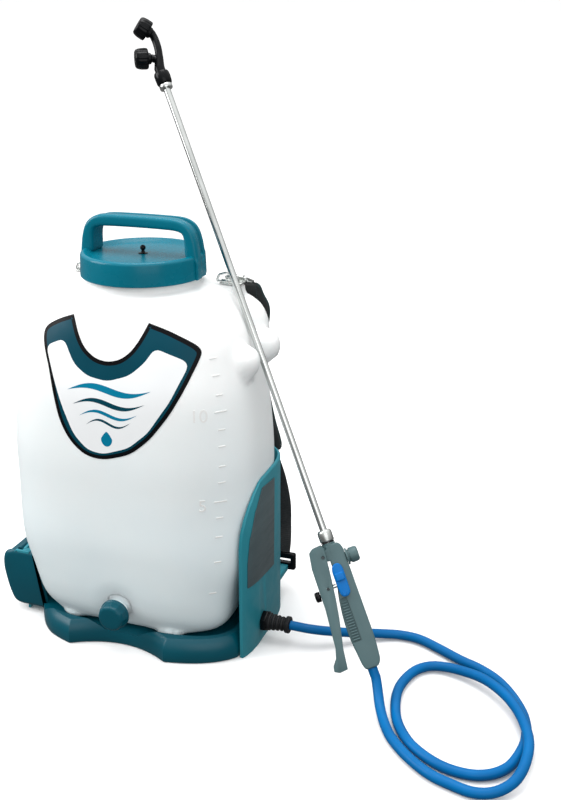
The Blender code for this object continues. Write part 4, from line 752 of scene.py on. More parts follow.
def draped(name, outline, lift, thick, material, spacing=0.004):
    """A thin printed patch that lies on the tank's front."""
    points = []
    count = len(outline)
    for i in range(count):
        a = Vector(outline[i])
        b = Vector(outline[(i + 1) % count])
        steps = max(1, int((b - a).length / spacing))
        points += [a.lerp(b, k / steps) for k in range(steps)]
    edge = len(points)
    edges = [(i, (i + 1) % edge) for i in range(edge)]
    xs = [p.x for p in points]
    zs = [p.y for p in points]
    for i in range(int((max(xs) - min(xs)) / spacing)):
        for k in range(int((max(zs) - min(zs)) / spacing)):
            points.append(Vector((min(xs) + (i + 0.5) * spacing, min(zs) + (k + 0.5) * spacing)))
    flat, _, faces, *_ = delaunay_2d_cdt(points, edges, [], 1, 1e-6)
    bm = bmesh.new()
    low = [bm.verts.new(on_front(p.x, p.y, lift)) for p in flat]
    high = [bm.verts.new(on_front(p.x, p.y, lift + thick)) for p in flat]
    sides = set()
    for face in faces:
        bm.faces.new([low[i] for i in face[::-1]])
        bm.faces.new([high[i] for i in face])
        sides.update(zip(face, (*face[1:], face[0])))
    for i, j in sorted(sides):
        if (j, i) not in sides:
            bm.faces.new((low[i], low[j], high[j], high[i]))
    for vert in [v for v in bm.verts if not v.link_faces]:
        bm.verts.remove(vert)
    made = bm_object(name, bm)
    return piece(made, "sprayer", material, "teal_case", sharp=60)


def inset(outline, amount):
    """A closed outline drawn in by an amount."""
    count = len(outline)
    made = []
    area = sum(outline[i - 1][0] * outline[i][1] - outline[i][0] * outline[i - 1][1] for i in range(count))
    turn = 1.0 if area > 0 else -1.0
    for i in range(count):
        before = Vector(outline[i]) - Vector(outline[i - 1])
        after = Vector(outline[(i + 1) % count]) - Vector(outline[i])
        one = Vector((-before.y, before.x)).normalized()
        two = Vector((-after.y, after.x)).normalized()
        normal = (one + two).normalized()
        made.append(Vector(outline[i]) + normal * turn * amount / max(normal.dot(one), 0.5))
    return made


def make_label():
    sharp = len(SHIELD)
    corners = (*SHIELD, *SHIELD_NOTCH)
    radii = [0.0005] + [0.012] * (sharp - 2) + [0.0005] + [0.012] * len(SHIELD_NOTCH)
    shield = rounded(corners, radii, 4)
    draped("label_edge", shield, 0.0002, 0.0002, LABEL_BLACK)
    draped("label_band", inset(shield, 0.0044), 0.0004, INK, LABEL_DEEP)
    field = (
        (-0.0790, 0.3600), (-0.0560, 0.3700), (-0.0400, 0.3450), (-0.0230, 0.3345), (0.0010, 0.3312),
        (0.0265, 0.3395), (0.0440, 0.3550), (0.0530, 0.3700), (0.0860, 0.3590), (0.0900, 0.3520),
        (0.0740, 0.3160), (0.0500, 0.2800), (0.0270, 0.2600), (-0.0045, 0.2490), (-0.0235, 0.2520),
        (-0.0400, 0.2680), (-0.0530, 0.2960), (-0.0680, 0.3340),
    )
    draped("label_field", rounded(field, 0.008, 4), 0.0005, INK, LABEL_WHITE)
    bars = ((0.3215, 0.050, 0.0075, LABEL_TEAL), (0.3065, 0.043, 0.0055, LABEL_DEEP),
            (0.2945, 0.035, 0.0040, LABEL_TEAL), (0.2850, 0.027, 0.0030, LABEL_DEEP))
    for i, (z, half, thick, material) in enumerate(bars):
        middle = 0.0030
        wave = []
        for k in range(25):
            t = k / 24
            wave.append((middle + half * (2 * t - 1), z + 0.005 * sin(2 * pi * t) + 0.004 * (2 * t - 1)))
        outline = [(x, h + thick / 2 * sin(pi * k / 24)) for k, (x, h) in enumerate(wave)]
        outline += [(x, h - thick / 2 * sin(pi * k / 24)) for k, (x, h) in enumerate(wave)][::-1][1:-1]
        draped(f"label_wave_{i}", outline, 0.0006, INK, material, 0.003)
    drop = []
    for k in range(24):
        t = 2 * pi * k / 24
        drop.append((0.0010 + 0.0068 * cos(t) * (1.0 - 0.55 * max(sin(t), 0.0)), 0.2672 + 0.0085 * sin(t)))
    draped("label_drop", drop, 0.0006, INK, LABEL_TEAL, 0.003)


make_label()


# Litre marks
def on_corner(z, turn, lift):
    """The tank's skin at a height, in a direction seen from its middle, with its normal."""
    way = Vector((cos(turn), sin(turn), 0.0))
    place, normal, _, _ = SKIN.ray_cast(Vector((0.0, -0.013, z)) + way * 0.3, -way)
    return place + normal * lift, normal


def make_marks():
    bars = []
    for i, z in enumerate(MARK_LEVELS):
        place, normal = on_corner(z, MARK_TURN + MARK_LEAN * (z - MARK_MIDDLE), INK)
        level = Vector((0.0, 0.0, 1.0)).cross(normal).normalized()
        upward = normal.cross(level)
        way = Matrix((level, upward, normal)).transposed().to_4x4()
        way.translation = place
        long = 0.0075 if i in LONG_MARKS else 0.0042
        outline = ((-long, -0.0008), (long, -0.0008), (long, 0.0008), (-long, 0.0008))
        bars.append(prism("bar", rounded(outline, 0.0008, 3), 0.0008, way, 0.0003, 2))
    for text, z, turn in (("10", 0.3000, -0.6650), ("5", 0.1970, -0.6750)):
        data = bpy.data.curves.new("digits", "FONT")
        data.body = text
        data.size = 0.0200
        data.align_x = "CENTER"
        data.align_y = "CENTER"
        data.extrude = 0.0004
        digits = bpy.data.objects.new("digits", data)
        scene.collection.objects.link(digits)
        bpy.context.view_layer.update()
        mesh = bpy.data.meshes.new_from_object(digits.evaluated_get(bpy.context.evaluated_depsgraph_get()))
        bpy.data.objects.remove(digits)
        middle, normal = on_corner(z, turn, 0.0)
        level = Vector((0.0, 0.0, 1.0)).cross(normal).normalized()
        upward = normal.cross(level)
        for vert in mesh.vertices:
            spot = middle + level * vert.co.x + upward * vert.co.y
            place, face, _, _ = SKIN.ray_cast(spot + normal * 0.02, -normal)
            vert.co = place + face * (vert.co.z + INK)
        made = bpy.data.objects.new("digits", mesh)
        scene.collection.objects.link(made)
        bars.append(made)
    piece(merged("litre_marks", *bars), "sprayer", WHITE, "white_plastic")


make_marks()


# Filler cap
def handle_section(outer, inner):
    """A channel across the handle: a broad front band, a groove and a thin rear wall."""
    outer = Vector((outer[0], 0.0, outer[1]))
    inner = Vector((inner[0], 0.0, inner[1]))
    wide = (outer - inner).length
    out = (outer - inner).normalized()
    front = -HANDLE_DEPTH / 2
    rear = HANDLE_DEPTH / 2
    groove = min(0.0055, wide * 0.5)
    outline = ((0.0, front), (wide, front), (wide, front + 0.0125), (wide - groove, front + 0.0135),
               (wide - groove, rear - 0.0045), (wide - 0.0016, rear - 0.0035), (wide - 0.0016, rear),
               (0.0, rear))
    soft = min(0.0046, wide * 0.4)
    radii = [soft, soft, 0.0020, 0.0012, 0.0012, 0.0010, 0.0014, 0.0030]
    return [inner + out * u + Vector((0.0, y, 0.0)) for u, y in rounded(outline, radii, 5)]


def make_cap():
    body = turned("cap_body_shell", (
        (0.0, CAP_FLOOR), (CAP_RADIUS - 0.0140, CAP_FLOOR), (CAP_RADIUS - 0.0120, CAP_FLOOR + 0.0004),
        (CAP_RADIUS - 0.0085, CAP_TOP - 0.0012),
        *arc((CAP_RADIUS - 0.0050, CAP_TOP - 0.0042), 0.0042, 125, 8, 10),
        (CAP_RADIUS - 0.0004, CAP_RIM + 0.0140), (CAP_RADIUS, CAP_RIM + 0.0022),
        *arc((CAP_RADIUS - 0.0012, CAP_RIM + 0.0012), 0.0012, 0, -90, 4),
        (CAP_BORE + 0.0006, CAP_RIM), (CAP_BORE, CAP_RIM + 0.0006), (CAP_BORE, CAP_CEILING),
        (0.0, CAP_CEILING),
    ), steps=128)
    pairs = [*HANDLE_HALF, *((-a, b, -c, d) for a, b, c, d in HANDLE_HALF[-2::-1])]
    rings = [handle_section(row[:2], row[2:]) for row in between(pairs, 5)]
    handle = loft("cap_handle", rings)
    cap = merged("cap_shell", body, handle)
    piece(cap, "cap_body", TEAL, "teal_case", "filler_cap", sharp=42)
    vent = turned("vent_knob", (
        (0.0, CAP_FLOOR + 0.0098), *arc((0.0, CAP_FLOOR + 0.0066), 0.0032, 80, -55, 10),
        (0.0018, CAP_FLOOR + 0.0030), (0.0024, CAP_FLOOR + 0.0012), (0.0050, CAP_FLOOR + 0.0008),
        (0.0055, CAP_FLOOR + 0.0003), (0.0040, CAP_FLOOR + 0.0003), (0.0040, CAP_CEILING + 0.0003),
        (0.0, CAP_CEILING + 0.0003),
    ), steps=32)
    piece(vent, "cap_body", BLACK, "black_rubber", "vent_valve")


make_cap()


# Drain cap
def make_drain_cap():
    facet = 2 * pi / DRAIN_FACETS
    way = Matrix(((1, 0, 0, 0), (0, 0, 1, DRAIN_FACE), (0, 1, 0, DRAIN_HEIGHT), (0, 0, 0, 1)))
    knob = turned("drain_knob", DRAIN_ROWS, way, DRAIN_FACETS * 10,
                  lambda t: cos(facet / 2) / cos(t % facet - facet / 2))
    piece(knob, "drain_cap_body", TEAL_SHADED, "teal_case", "drain_cap", sharp=24)


make_drain_cap()


# Base tray
def bent(start, middle, end, count):
    """Points of a quadratic bend between two points, first point left out."""
    made = []
    for i in range(1, count + 1):
        t = i / count
        made.append(Vector(start) * (1 - t) ** 2 + Vector(middle) * 2 * t * (1 - t) + Vector(end) * t * t)
    return made


def make_base():
    foot_right = (FOOT_HALF, FOOT_FRONT)
    foot_left = (-FOOT_HALF, FOOT_FRONT)
    outline = [Vector(foot_left)]
    outline += bent(foot_left, (0.0, FOOT_FRONT + 2 * SCALLOP_DEPTH), foot_right, 40)
    outline += bent(foot_right, (0.1180, -0.1080), (0.1385, PANEL_FRONT - 0.0010), 24)
    outline += bent((0.1385, PANEL_FRONT - 0.0010), (0.1470, -0.0500), (0.1470, 0.0), 10)
    outline += bent((0.1470, 0.0), (0.1470, 0.0800), (0.0600, 0.0830), 16)
    outline += [Vector((0.0, 0.0835))]
    outline += bent((-0.0600, 0.0830), (-0.1380, 0.0800), (-0.1330, 0.0505), 12)
    outline += [Vector((-0.1300, 0.0475)), Vector((-0.1300, -0.0560))]
    outline += bent((-0.1300, -0.0560), (-0.1120, -0.0930), (-0.0900, -0.1060), 12)
    outline += bent((-0.0900, -0.1060), (-0.0760, -0.1130), foot_left, 6)[:-1]
    levels = ((0.0, 0.0014), (0.0006, 0.0005), (0.0016, 0.0), (0.0080, 0.0), (0.0130, 0.0004),
              (0.0170, 0.0014), (0.0205, 0.0029), (0.0233, 0.0048), (0.0254, 0.0068), (BASE_LIP, 0.0090))
    rings = [[Vector((p.x, p.y, z)) for p in inset(outline, draw)] for z, draw in levels]
    base = loft("base_shell", rings)
    pocket = even_ring(0.0, 0.1290, -0.1000, 0.0210, 3.2, 120)
    middle = Matrix.Translation((0.0, 0.0, BASE_FLOOR + 0.05))
    boolean(base, prism("well", [(p[0], p[1]) for p in pocket], 0.10, middle))
    for low, high in (((-0.115, -0.080), (-0.015, 0.060)), ((0.015, -0.080), (0.115, 0.060))):
        boolean(base, block("hollow", (*low, -0.01), (*high, BASE_FLOOR - 0.0035), 0.003))
    boolean(base, block("notch", (0.1330, -0.0460, 0.0100), (0.17, 0.0300, 0.06), 0.001))
    piece(base, "sprayer", TEAL_SHADED, "teal_case", "base_tray", sharp=34)


make_base()


# Housing, side plate and battery cover
def make_housing():
    housing = refined("rear_housing", "housing_shell", 0.0008)
    boolean(housing, block("trim", (-0.1700, -0.1000, 0.0834), (-0.1300, -0.0290, 0.1200), 0.0005))
    piece(housing, "sprayer", TEAL_SIDE, "teal_case", "rear_housing")
    piece(refined("side_plate", "side_panel_plate", 0.0002), "sprayer", PLATE, "grey_plate", "side_plate")
    ends = ((0.0, 0.0060), (0.0004, 0.0040), (0.0012, 0.0021), (0.0026, 0.0008), (0.0043, 0.0))
    rows = [(COVER_NOSE + y, draw, COVER_RIGHT, NOSE_FOOT, 0.0030) for y, draw in ends]
    rows += [(COVER_NOSE + 0.0044, 0.0, COVER_EDGE, COVER_EDGE, 0.0)]
    rows += [(COVER_TAIL - y, draw, COVER_EDGE, COVER_EDGE, 0.0) for y, draw in ends[::-1]]
    rings = []
    for y, draw, right, foot, lift in rows:
        outline = [
            (foot, 0.0075), (-0.1585, 0.0082), (-0.1665, 0.0130), (-0.1725, 0.0300), (-0.1775, 0.0560),
            (-0.1765, 0.0690 + lift), (-0.1715, 0.0765 + lift), (-0.1635, 0.0797 + lift),
            (-0.1570, 0.0802 + lift), (right, 0.0800 + lift),
        ]
        soft = rounded(outline, [0.001] + [0.008] * 8 + [0.001], 5)
        rings.append([Vector((p.x, y, p.y)) for p in inset(soft, draw)])
    cover = loft("cover_shell", rings)
    bead = tube("bead", [(-0.1560, -0.0600 + 0.1127 * i / 24, 0.0800) for i in range(25)], 0.0033, 24)
    piece(merged("cover_shell", cover, bead), "cover_body", TEAL_SHADED, "teal_case", "battery_cover", sharp=40)


make_housing()


# Gland
def make_gland():
    way = Matrix.Translation((HOUSING_SIDE, GLAND_Y, GLAND_Z)) @ Matrix.Rotation(pi / 2, 4, "Y")
    length = GLAND_END - HOUSING_SIDE
    profile = [(0.0058, length), (0.0094, length), (0.0100, length - 0.0006), (0.0100, length - 0.0044),
               (0.0094, length - 0.0052)]
    for i in range(4):
        at = length - 0.0062 - i * 0.0052
        wide = 0.0086 + 0.0006 * i
        profile += [(wide - 0.0018, at), (wide - 0.0018, at - 0.0012), (wide - 0.0003, at - 0.0018),
                    (wide, at - 0.0024), (wide, at - 0.0040), (wide - 0.0004, at - 0.0046)]
    profile += [(0.0095, 0.0071), (0.0095, -0.0190), (0.0058, -0.0190)]
    piece(turned("gland_boot", profile, way, 48), "sprayer", RUBBER, "black_rubber", "hose_gland")
    piece(refined("gland_nut", "gland_hex", 0.0008), "sprayer", BLACK, "black_plastic", "gland_nut")


make_gland()


# Gun
LIE = Matrix(((1, 0, 0, 0), (0, 0, -1, 0), (0, 1, 0, 0), (0, 0, 0, 1)))


def wand_prism(name, outline, thick, n=0.0, edge=0.0, segments=3, angle=30):
    """An outline of (lever side, up the lance), with its thickness across the gun."""
    return prism(name, outline, thick, WAND @ Matrix.Translation((0.0, n, 0.0)) @ LIE, edge, segments, angle)


def wand_rod(name, start, end, radius, sides=32):
    return tube(name, [wand_point(*start), wand_point(*end)], radius, sides)


def make_gun():
    outline = rounded((
        (-0.0075, 0.0), (-0.0118, 0.0060), (-0.0138, 0.0300), (-0.0138, 0.1330), (-0.0100, 0.1392),
        (0.0045, 0.1392), (0.0045, 0.1000), (0.0090, 0.0830), (0.0120, 0.0600), (0.0126, 0.0390),
        (0.0092, 0.0060), (0.0070, 0.0),
    ), [0.003, 0.006, 0.010, 0.006, 0.004, 0.002, 0.006, 0.010, 0.010, 0.010, 0.006, 0.003], 4)
    body = wand_prism("gun_shell", outline, GUN_THICK, 0.0, 0.0034, 4, 40)
    ear = ((0.0, 0.1210), (0.0110, 0.1235), (0.0150, 0.1284), (0.0110, 0.1335), (0.0, 0.1370))
    boolean(body, wand_prism("ear", rounded(ear, 0.004, 4), GUN_THICK, 0.0, 0.0008, 2), "UNION")
    neck = ((0.0, 0.1300), (0.0074, 0.1300), (0.0074, 0.1408), (0.0070, 0.1412), (0.0, 0.1412))
    boolean(body, turned("neck", neck, WAND, 40), "UNION")
    half = GUN_THICK / 2
    well = ((0.0004, 0.0316), (0.0104, 0.0316), (0.0102, 0.0600), (0.0078, 0.0809), (0.0004, 0.0809))
    boolean(body, wand_prism("well", rounded(well, 0.0012, 3), 0.01, half - 0.0012 + 0.005))
    piece(body, "sprayer", DIECAST, "diecast_grey", "gun_body", sharp=32)
    outline = ((0.0010, 0.0322), (0.0098, 0.0322), (0.0096, 0.0600), (0.0072, 0.0803), (0.0010, 0.0803))
    pad = wand_prism("grip_pad", rounded(outline, 0.001, 3), 0.0010, half - 0.0007)
    piece(pad, "sprayer", GRIP, "black_rubber", "grip_insert")
    bars = []
    for i in range(15):
        s = 0.0340 + 0.0030 * i
        right = 0.0094 if s < 0.060 else 0.0094 - (s - 0.060) * 0.115
        bars.append(tube("rib", [wand_point(0.0016, s, half - 0.0001), wand_point(right, s, half - 0.0001)],
                         0.0007, 10))
    piece(merged("grip_ribs", *bars), "sprayer", DIECAST, "black_rubber")
    piece(refined("gun_lever", "lever_shell", 0.0009, 3), "lever_body", DIECAST, "diecast_grey", "gun_lever",
          sharp=30)


def make_latch():
    half = GUN_THICK / 2
    latch_at = half + LATCH_GAP + LATCH_THICK / 2
    latch = wand_prism("latch_shell", rounded((
        (-0.0058, 0.0850), (-0.0062, 0.1120), (-0.0040, 0.1176), (0.0010, 0.1185), (0.0048, 0.1160),
        (0.0064, 0.1110), (0.0064, 0.0960), (0.0058, 0.0850), (0.0035, 0.0815), (-0.0020, 0.0810),
    ), 0.003, 4), LATCH_THICK, latch_at, 0.0013, 3)
    outline = ((-0.0050, 0.0990), (-0.0052, 0.1080), (0.0052, 0.1080), (0.0052, 0.0990))
    step = wand_prism("latch_step", rounded(outline, 0.002, 4), 0.0030, latch_at + 0.0026, 0.0012, 3)
    pin = wand_rod("latch_pin", (*LATCH_PIN, half - 0.0036), (*LATCH_PIN, latch_at + 0.0031), 0.0018, 24)
    piece(merged("latch_shell", latch, step, pin), "latch_body", LATCH_BLUE, "blue_plastic", "lever_latch")


def make_fittings():
    """Side plug, lever knob and collar nut."""
    plug_way = along(wand_point(-0.0135, PLUG_S), wand_point(-0.0200, PLUG_S))
    plug = turned("plug_shell", (
        (0.0, 0.0142), (0.0058, 0.0142), (0.0070, 0.0138), (0.0080, 0.0128), (0.0084, 0.0112),
        (0.0085, 0.0052), (0.0082, 0.0046), (0.0070, 0.0042), (0.0070, 0.0030), (0.0090, 0.0024),
        (0.0093, 0.0018), (0.0093, 0.0006), (0.0050, 0.0006), (0.0050, -0.0050), (0.0, -0.0050),
    ), plug_way, 48)
    piece(plug, "plug_body", DIECAST, "diecast_grey", "side_plug", sharp=30)
    knob_way = along(wand_point(0.0268, KNOB_S), wand_point(0.0330, KNOB_S))
    rows = ((0.0, 0.0063), (0.0036, 0.0063), (0.0050, 0.0058), (0.0057, 0.0048), (0.0058, 0.0010),
            (0.0054, 0.0003), (0.0019, 0.0003), (0.0019, -0.0030), (0.0, -0.0030))
    knob = fluted("knob_shell", rows, knob_way, 72, KNOB_FLUTES, 0.0045)
    piece(knob, "knob_body", BLACK, "black_plastic", "lever_knob")
    top = COLLAR_BASE + 0.0128
    collar = turned("collar_shell", (
        (0.0060, top), (0.0070, top - 0.0007), (0.0077, top - 0.0020), (0.0080, top - 0.0034),
        (0.0080, COLLAR_BASE + 0.0010), (0.0077, COLLAR_BASE + 0.0003), (0.0072, COLLAR_BASE),
        (0.0044, COLLAR_BASE), (0.0044, top),
    ), WAND, 48)
    piece(collar, "collar_body", SATIN, "bright_steel", "collar_nut")


make_gun()
make_latch()
make_fittings()


# Lance and nozzle
def make_lance():
    low = LANCE_END - 0.0010
    lance = turned("lance_shell", (
        (0.0, 0.1407), (LANCE_RADIUS, 0.1407), (LANCE_RADIUS, low), (0.0070, low + 0.0002),
        (0.0075, low + 0.0010), (0.0075, low + 0.0046), (0.0070, low + 0.0053), (0.0, low + 0.0053),
    ), WAND, 40)
    piece(lance, "sprayer", STEEL, "bright_steel", "lance_tube")


def nozzle_head(name, body, node, centre, way):
    """A turned, fluted cap at the end of a fork arm; returns the back of it and its axis."""
    way = (WAND.to_3x3() @ Vector(way)).normalized()
    back = wand_point(*centre) - way * HEAD_DEPTH / 2
    rows = (
        (0.0, 0.0138), (0.0012, 0.0138), (0.0016, 0.0146), (0.0036, 0.0150), (0.0048, 0.0148),
        (0.0054, 0.0138), (0.0066, 0.0136), (0.0076, 0.0148), (0.0090, 0.0147), (0.0104, 0.0136),
        (0.0114, 0.0112), (0.0119, 0.0080), (0.0120, 0.0030), (0.0117, 0.0008), (0.0108, 0.0),
        (0.0069, 0.0), (0.0069, 0.0110), (0.0, 0.0110),
    )
    head = fluted(name, rows, along(back, back + way), 96, HEAD_FLUTES, 0.0112)
    piece(head, body, BLACK, "black_plastic", node)
    return back, way


def make_nozzle():
    low = LANCE_END + 0.0048
    top = low + 0.0150
    nut = turned("union_shell", (
        (0.0072, top), (0.0084, top - 0.0006), (0.0090, top - 0.0022), (0.0092, top - 0.0060),
        (0.0088, low + 0.0018), (0.0080, low + 0.0004), (0.0070, low), (0.0066, low), (0.0066, top),
    ), WAND, 48)
    piece(nut, "union_body", BLACK, "black_plastic", "union_nut")
    heads = (("head_low_shell", "nozzle_low_body", "nozzle_cap_low", LOW_HEAD),
             ("head_high_shell", "nozzle_high_body", "nozzle_cap_high", HIGH_HEAD))
    parts = [wand_rod("stem", (0.0, low + 0.0003), (0.0, top + 0.0060), 0.0062)]
    hub = wand_point(0.0, top + 0.0050)
    for name, body, node, (centre, way) in heads:
        back, axis = nozzle_head(name, body, node, centre, way)
        knee = back - axis * 0.0060
        middle = hub.lerp(knee, 0.5) + (WAND.to_3x3() @ Vector((-0.0030, 0.0, 0.0010)))
        route = smooth_route((hub, middle, knee, back + axis * 0.0040), 24)
        radii = [0.0060 - 0.0016 * min(1.0, i / 8) + 0.0012 * max(0.0, (i - 18) / 5) for i in range(24)]
        parts.append(tube("arm", route, radii, 20))
        spigot = ((0.0, -0.0046), (0.0046, -0.0044), (0.0062, -0.0030), (0.0065, -0.0010), (0.0065, 0.0105),
                  (0.0, 0.0105))
        parts.append(turned("spigot", spigot, along(back, back + axis), 32))
    piece(merged("fork_shell", *parts), "sprayer", BLACK, "black_plastic", "nozzle_fork")


make_lance()
make_nozzle()


# Strap hooks
def make_hooks():
    for side, word in ((-1, "left"), (1, "right")):
        x = side * LUG_X
        low = LUG_TOP + 0.0003
        eye = (LUG_Y + 0.0125, low + 0.0034)
        hinge = (LUG_Y - 0.0085, low + 0.0034)
        far = eye[0] + 0.0160
        drop = eye[1] - 0.0075
        bail = ((x - 0.0125, *eye), (x + 0.0125, *eye), (x + 0.0165, far, drop), (x - 0.0165, far, drop))
        ring = tube(f"ring_{word}", rounded(bail, 0.003, 6), WIRE, 12, True)
        piece(ring, "sprayer", STEEL, "bright_steel", f"strap_ring_{word}")
        keeper = ((-0.0150, 0.0), (0.0120, 0.0), (0.0100, 0.0060), (-0.0020, 0.0105), (-0.0120, 0.0070))
        corners = [(x + across, hinge[0], hinge[1] + up) for across, up in keeper]
        latch = tube(f"latch_{word}", rounded(corners, 0.002, 6), WIRE, 12, True)
        piece(latch, f"hook_{word}_body", STEEL, "bright_steel", f"hook_latch_{word}")
        piece(refined(f"hook_bracket_{word}", f"bracket_{word}", 0.0004), "sprayer", SATIN, "bright_steel",
              f"hook_bracket_{word}")
        piece(refined(f"bracket_screw_{word}", f"screw_{word}", 0.0004), "sprayer", STEEL, "bright_steel",
              f"bracket_screw_{word}")


make_hooks()


# Straps and pads
def band_frame(path, i):
    before = path[max(i - 1, 0)]
    after = path[min(i + 1, len(path) - 1)]
    run = (after - before).normalized()
    across = Vector((1.0, 0.0, 0.0))
    return run, across, run.cross(across).normalized()


def soft_band(name, stations, power, count=36, ripple=0.0):
    """A soft flat band through (x, y, z, width, thickness) stations."""
    rows = between(stations, 7)
    path = [Vector(row[:3]) for row in rows]
    rings = []
    for i, row in enumerate(rows):
        _, across, normal = band_frame(path, i)
        ring = []
        for k in range(count):
            t = 2 * pi * k / count
            u = row[3] / 2 * abs(cos(t)) ** (2 / power) * (1 if cos(t) >= 0 else -1)
            v = row[4] / 2 * abs(sin(t)) ** (2 / power) * (1 if sin(t) >= 0 else -1)
            v *= 1.0 + ripple * sin(0.9 * i) * cos(3.0 * u / max(row[3], 1e-6))
            ring.append(path[i] + across * u + normal * v)
        rings.append(ring)
    return loft(name, rings), rows, path


def edge_cord(name, rows, path, side, radius, first, last):
    """Binding along one edge of a band."""
    points = []
    for i in range(first, last):
        _, across, _ = band_frame(path, i)
        points.append(path[i] + across * side * (rows[i][3] / 2 - radius * 0.4))
    return tube(name, points, radius, 10)


def stitches(rows, path, offset, lift, first, last, step):
    """Short thread stitches in a row along a band's outer face."""
    made = []
    for i in range(first, last, step):
        run, across, normal = band_frame(path, i)
        place = path[i] + across * offset + normal * (rows[i][4] / 2 * lift)
        thread = [place - run * 0.0016, place + normal * 0.0002, place + run * 0.0016]
        made.append(tube("stitch", thread, 0.0004, 6))
    return made


def make_straps():
    for side, word in ((-1, "left"), (1, "right")):
        stations = [
            (0.0925, 0.0720, 0.4084, 0.024, 0.0030), (0.0925, 0.0830, 0.4020, 0.032, 0.0050),
            (0.0915, 0.0905, 0.3900, 0.038, 0.0080), (0.0920, 0.0955, 0.3700, 0.049, 0.0110),
            (0.0880, 0.1000, 0.3300, 0.046, 0.0110), (0.0875, 0.1030, 0.2800, 0.046, 0.0110),
            (0.0955, 0.1060, 0.2300, 0.046, 0.0110), (0.1030, 0.1090, 0.1950, 0.047, 0.0110),
            (0.1048, 0.1105, 0.1830, 0.036, 0.0050),
        ]
        pad, rows, path = soft_band(f"pad_{word}", [(side * s[0], *s[1:]) for s in stations], 3.2, 40, 0.05)
        last = len(rows) - 1
        seams = stitches(rows, path, 0.012, 0.98, 8, last - 4, 2)
        seams += stitches(rows, path, -0.012, 0.98, 8, last - 4, 2)
        piece(pad, "sprayer", FABRIC, "foam", f"shoulder_pad_{word}", sharp=60)
        cords = [edge_cord("edge", rows, path, edge, 0.0016, 4, last - 1) for edge in (-1, 1)]
        piece(merged(f"pad_binding_{word}", *cords, *seams), "sprayer", PIPING, "webbing", sharp=60)
        stations = [
            (0.1052, 0.1107, 0.1822, 0.030, 0.0030), (0.1133, 0.1115, 0.1500, 0.036, 0.0032),
            (0.1210, 0.1100, 0.1150, 0.036, 0.0032), (0.1233, 0.1060, 0.0850, 0.036, 0.0032),
            (0.1271, 0.0970, 0.0665, 0.034, 0.0032), (0.1291, 0.0925, 0.0524, 0.030, 0.0030),
        ]
        web, rows, path = soft_band(f"web_{word}", [(side * s[0], *s[1:]) for s in stations], 8.0, 32)
        piece(web, "sprayer", WEBBING, "webbing", f"strap_web_{word}", sharp=60)
        piece(refined(f"strap_buckle_{word}", f"buckle_{word}", 0.0010), "sprayer", BLACK, "black_plastic",
              f"strap_buckle_{word}")


def make_back_pad():
    """A stitched pad: three pillows between two level channels."""
    half = 0.0600
    low = 0.2180
    high = 0.3600
    near = 0.0858
    thick = 0.0118
    wide = 40
    tall = 60
    points = []
    for k in range(tall + 1):
        v = k / tall
        for i in range(wide + 1):
            u = 2 * i / wide - 1
            corner = max(0.0, abs(u) - 0.82) / 0.18
            squeeze = 1.0 - 0.10 * corner * corner
            z = (low + high) / 2 + (high - low) * (v - 0.5) * squeeze
            x = half * u * (1.0 - 0.06 * max(0.0, abs(2 * v - 1) - 0.8) / 0.2)
            edge = min(1.0, (1 - abs(u)) / 0.16, min(v, 1 - v) / 0.10)
            crown = sin(pi / 2 * max(edge, 0.0)) ** 0.6
            channel = min(abs(v - 1 / 3), abs(v - 2 / 3)) / 0.05
            groove = 0.5 * max(0.0, 1.0 - channel) ** 2
            points.append(Vector((x, near + 0.0010 + (thick - 0.0010) * crown * (1.0 - groove), z)))
    back = len(points)
    points += [Vector((p.x, near, p.z)) for p in points]
    faces = []
    row = wide + 1
    for k in range(tall):
        for i in range(wide):
            a = k * row + i
            faces.append((a, a + 1, a + row + 1, a + row))
            faces.append((back + a, back + a + row, back + a + row + 1, back + a + 1))
    rim = list(range(row)) + [k * row + wide for k in range(1, tall + 1)]
    rim += [tall * row + i for i in range(wide - 1, -1, -1)] + [k * row for k in range(tall - 1, 0, -1)]
    for a, b in zip(rim, (*rim[1:], rim[0])):
        faces.append((a, b, back + b, back + a))
    pad = mesh_object("back_cushion", points, faces)
    piece(pad, "sprayer", FABRIC, "foam", "back_pad", sharp=60)


make_straps()
make_back_pad()

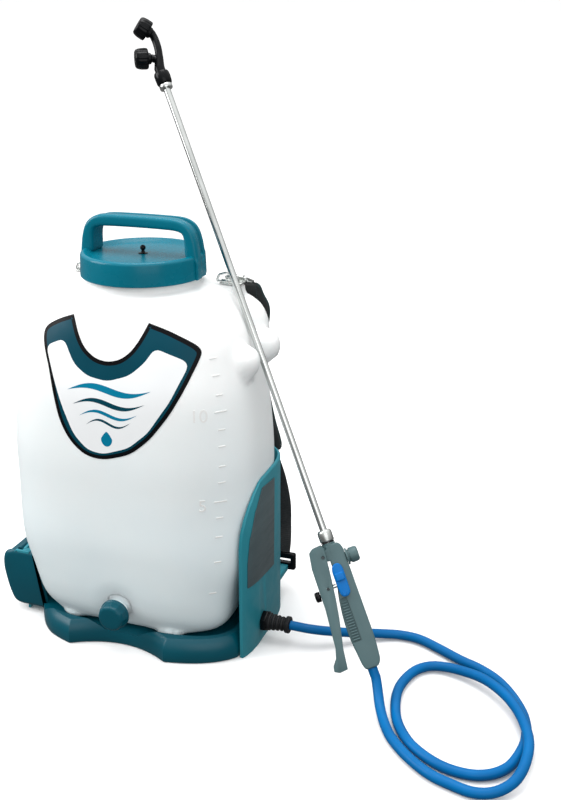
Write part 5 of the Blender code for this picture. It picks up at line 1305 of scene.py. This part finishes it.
# CAD nodes that keep their own shape
carry(STEEL, "bright_steel", "pump_motor", "drive_shaft", "valve_rod")
carry(DARK_STEEL, "bright_steel", "cover_pin", "lever_pin", "link_pin")
carry(RUBBER, "black_rubber", "cap_gasket", "drain_seal", "suction_tube", "delivery_tube", "collar_seal")
carry(BLACK, "black_plastic", "battery", "pressure_dial", "pump_head", "controller_box")
carry(WHITE, "white_plastic", "strainer_basket")


# Floor, light and surroundings
def studio_world():
    """A white room: dim below the horizon and brighter toward the ceiling."""
    world = bpy.data.worlds.new("studio")
    world.use_nodes = True
    tree = world.node_tree
    place = shader_node(tree, "ShaderNodeTexCoord")
    split = shader_node(tree, "ShaderNodeSeparateXYZ", Vector=place.outputs["Generated"])
    fill(tree, tree.nodes["Background"], Color=(1.0, 1.0, 1.0, 1.0),
         Strength=ranged(tree, split.outputs["Z"], *ROOM_LIGHT, (0.0, 1.0)))
    scene.world = world


def make_stage():
    bm = bmesh.new()
    bmesh.ops.create_grid(bm, x_segments=1, y_segments=1, size=FLOOR_HALF)
    floor = bm_object("floor", bm, False)
    floor.location = (0.0, 0.0, -FLOOR_DROP)
    bm = bmesh.new()
    bmesh.ops.create_cone(bm, cap_ends=False, segments=128, radius1=BACKDROP_FOOT, radius2=BACKDROP_RIM,
                          depth=BACKDROP_HEIGHT)
    backdrop = bm_object("backdrop", bm, False)
    backdrop.location = (0.0, 0.0, BACKDROP_MIDDLE)
    backdrop.visible_shadow = False
    pale = look("floor", (0.93, 0.93, 0.93), (0.92, 0.92, 0.92), 0.70, mottle=3.0, bump=0.0)
    for sheet in (floor, backdrop):
        sheet.data.materials.append(pale)
        sheet.visible_diffuse = False
        sheet.visible_glossy = False
    studio_world()
    for name, place, size, power in LAMPS:
        data = bpy.data.lights.new(name, "AREA")
        data.size = size
        data.energy = power
        lamp = bpy.data.objects.new(name, data)
        scene.collection.objects.link(lamp)
        lamp.location = place
        lamp.rotation_euler = (Vector(LAMP_AIM) - Vector(place)).to_track_quat("-Z", "Y").to_euler()
    scene.view_settings.view_transform = "Standard"


make_stage()
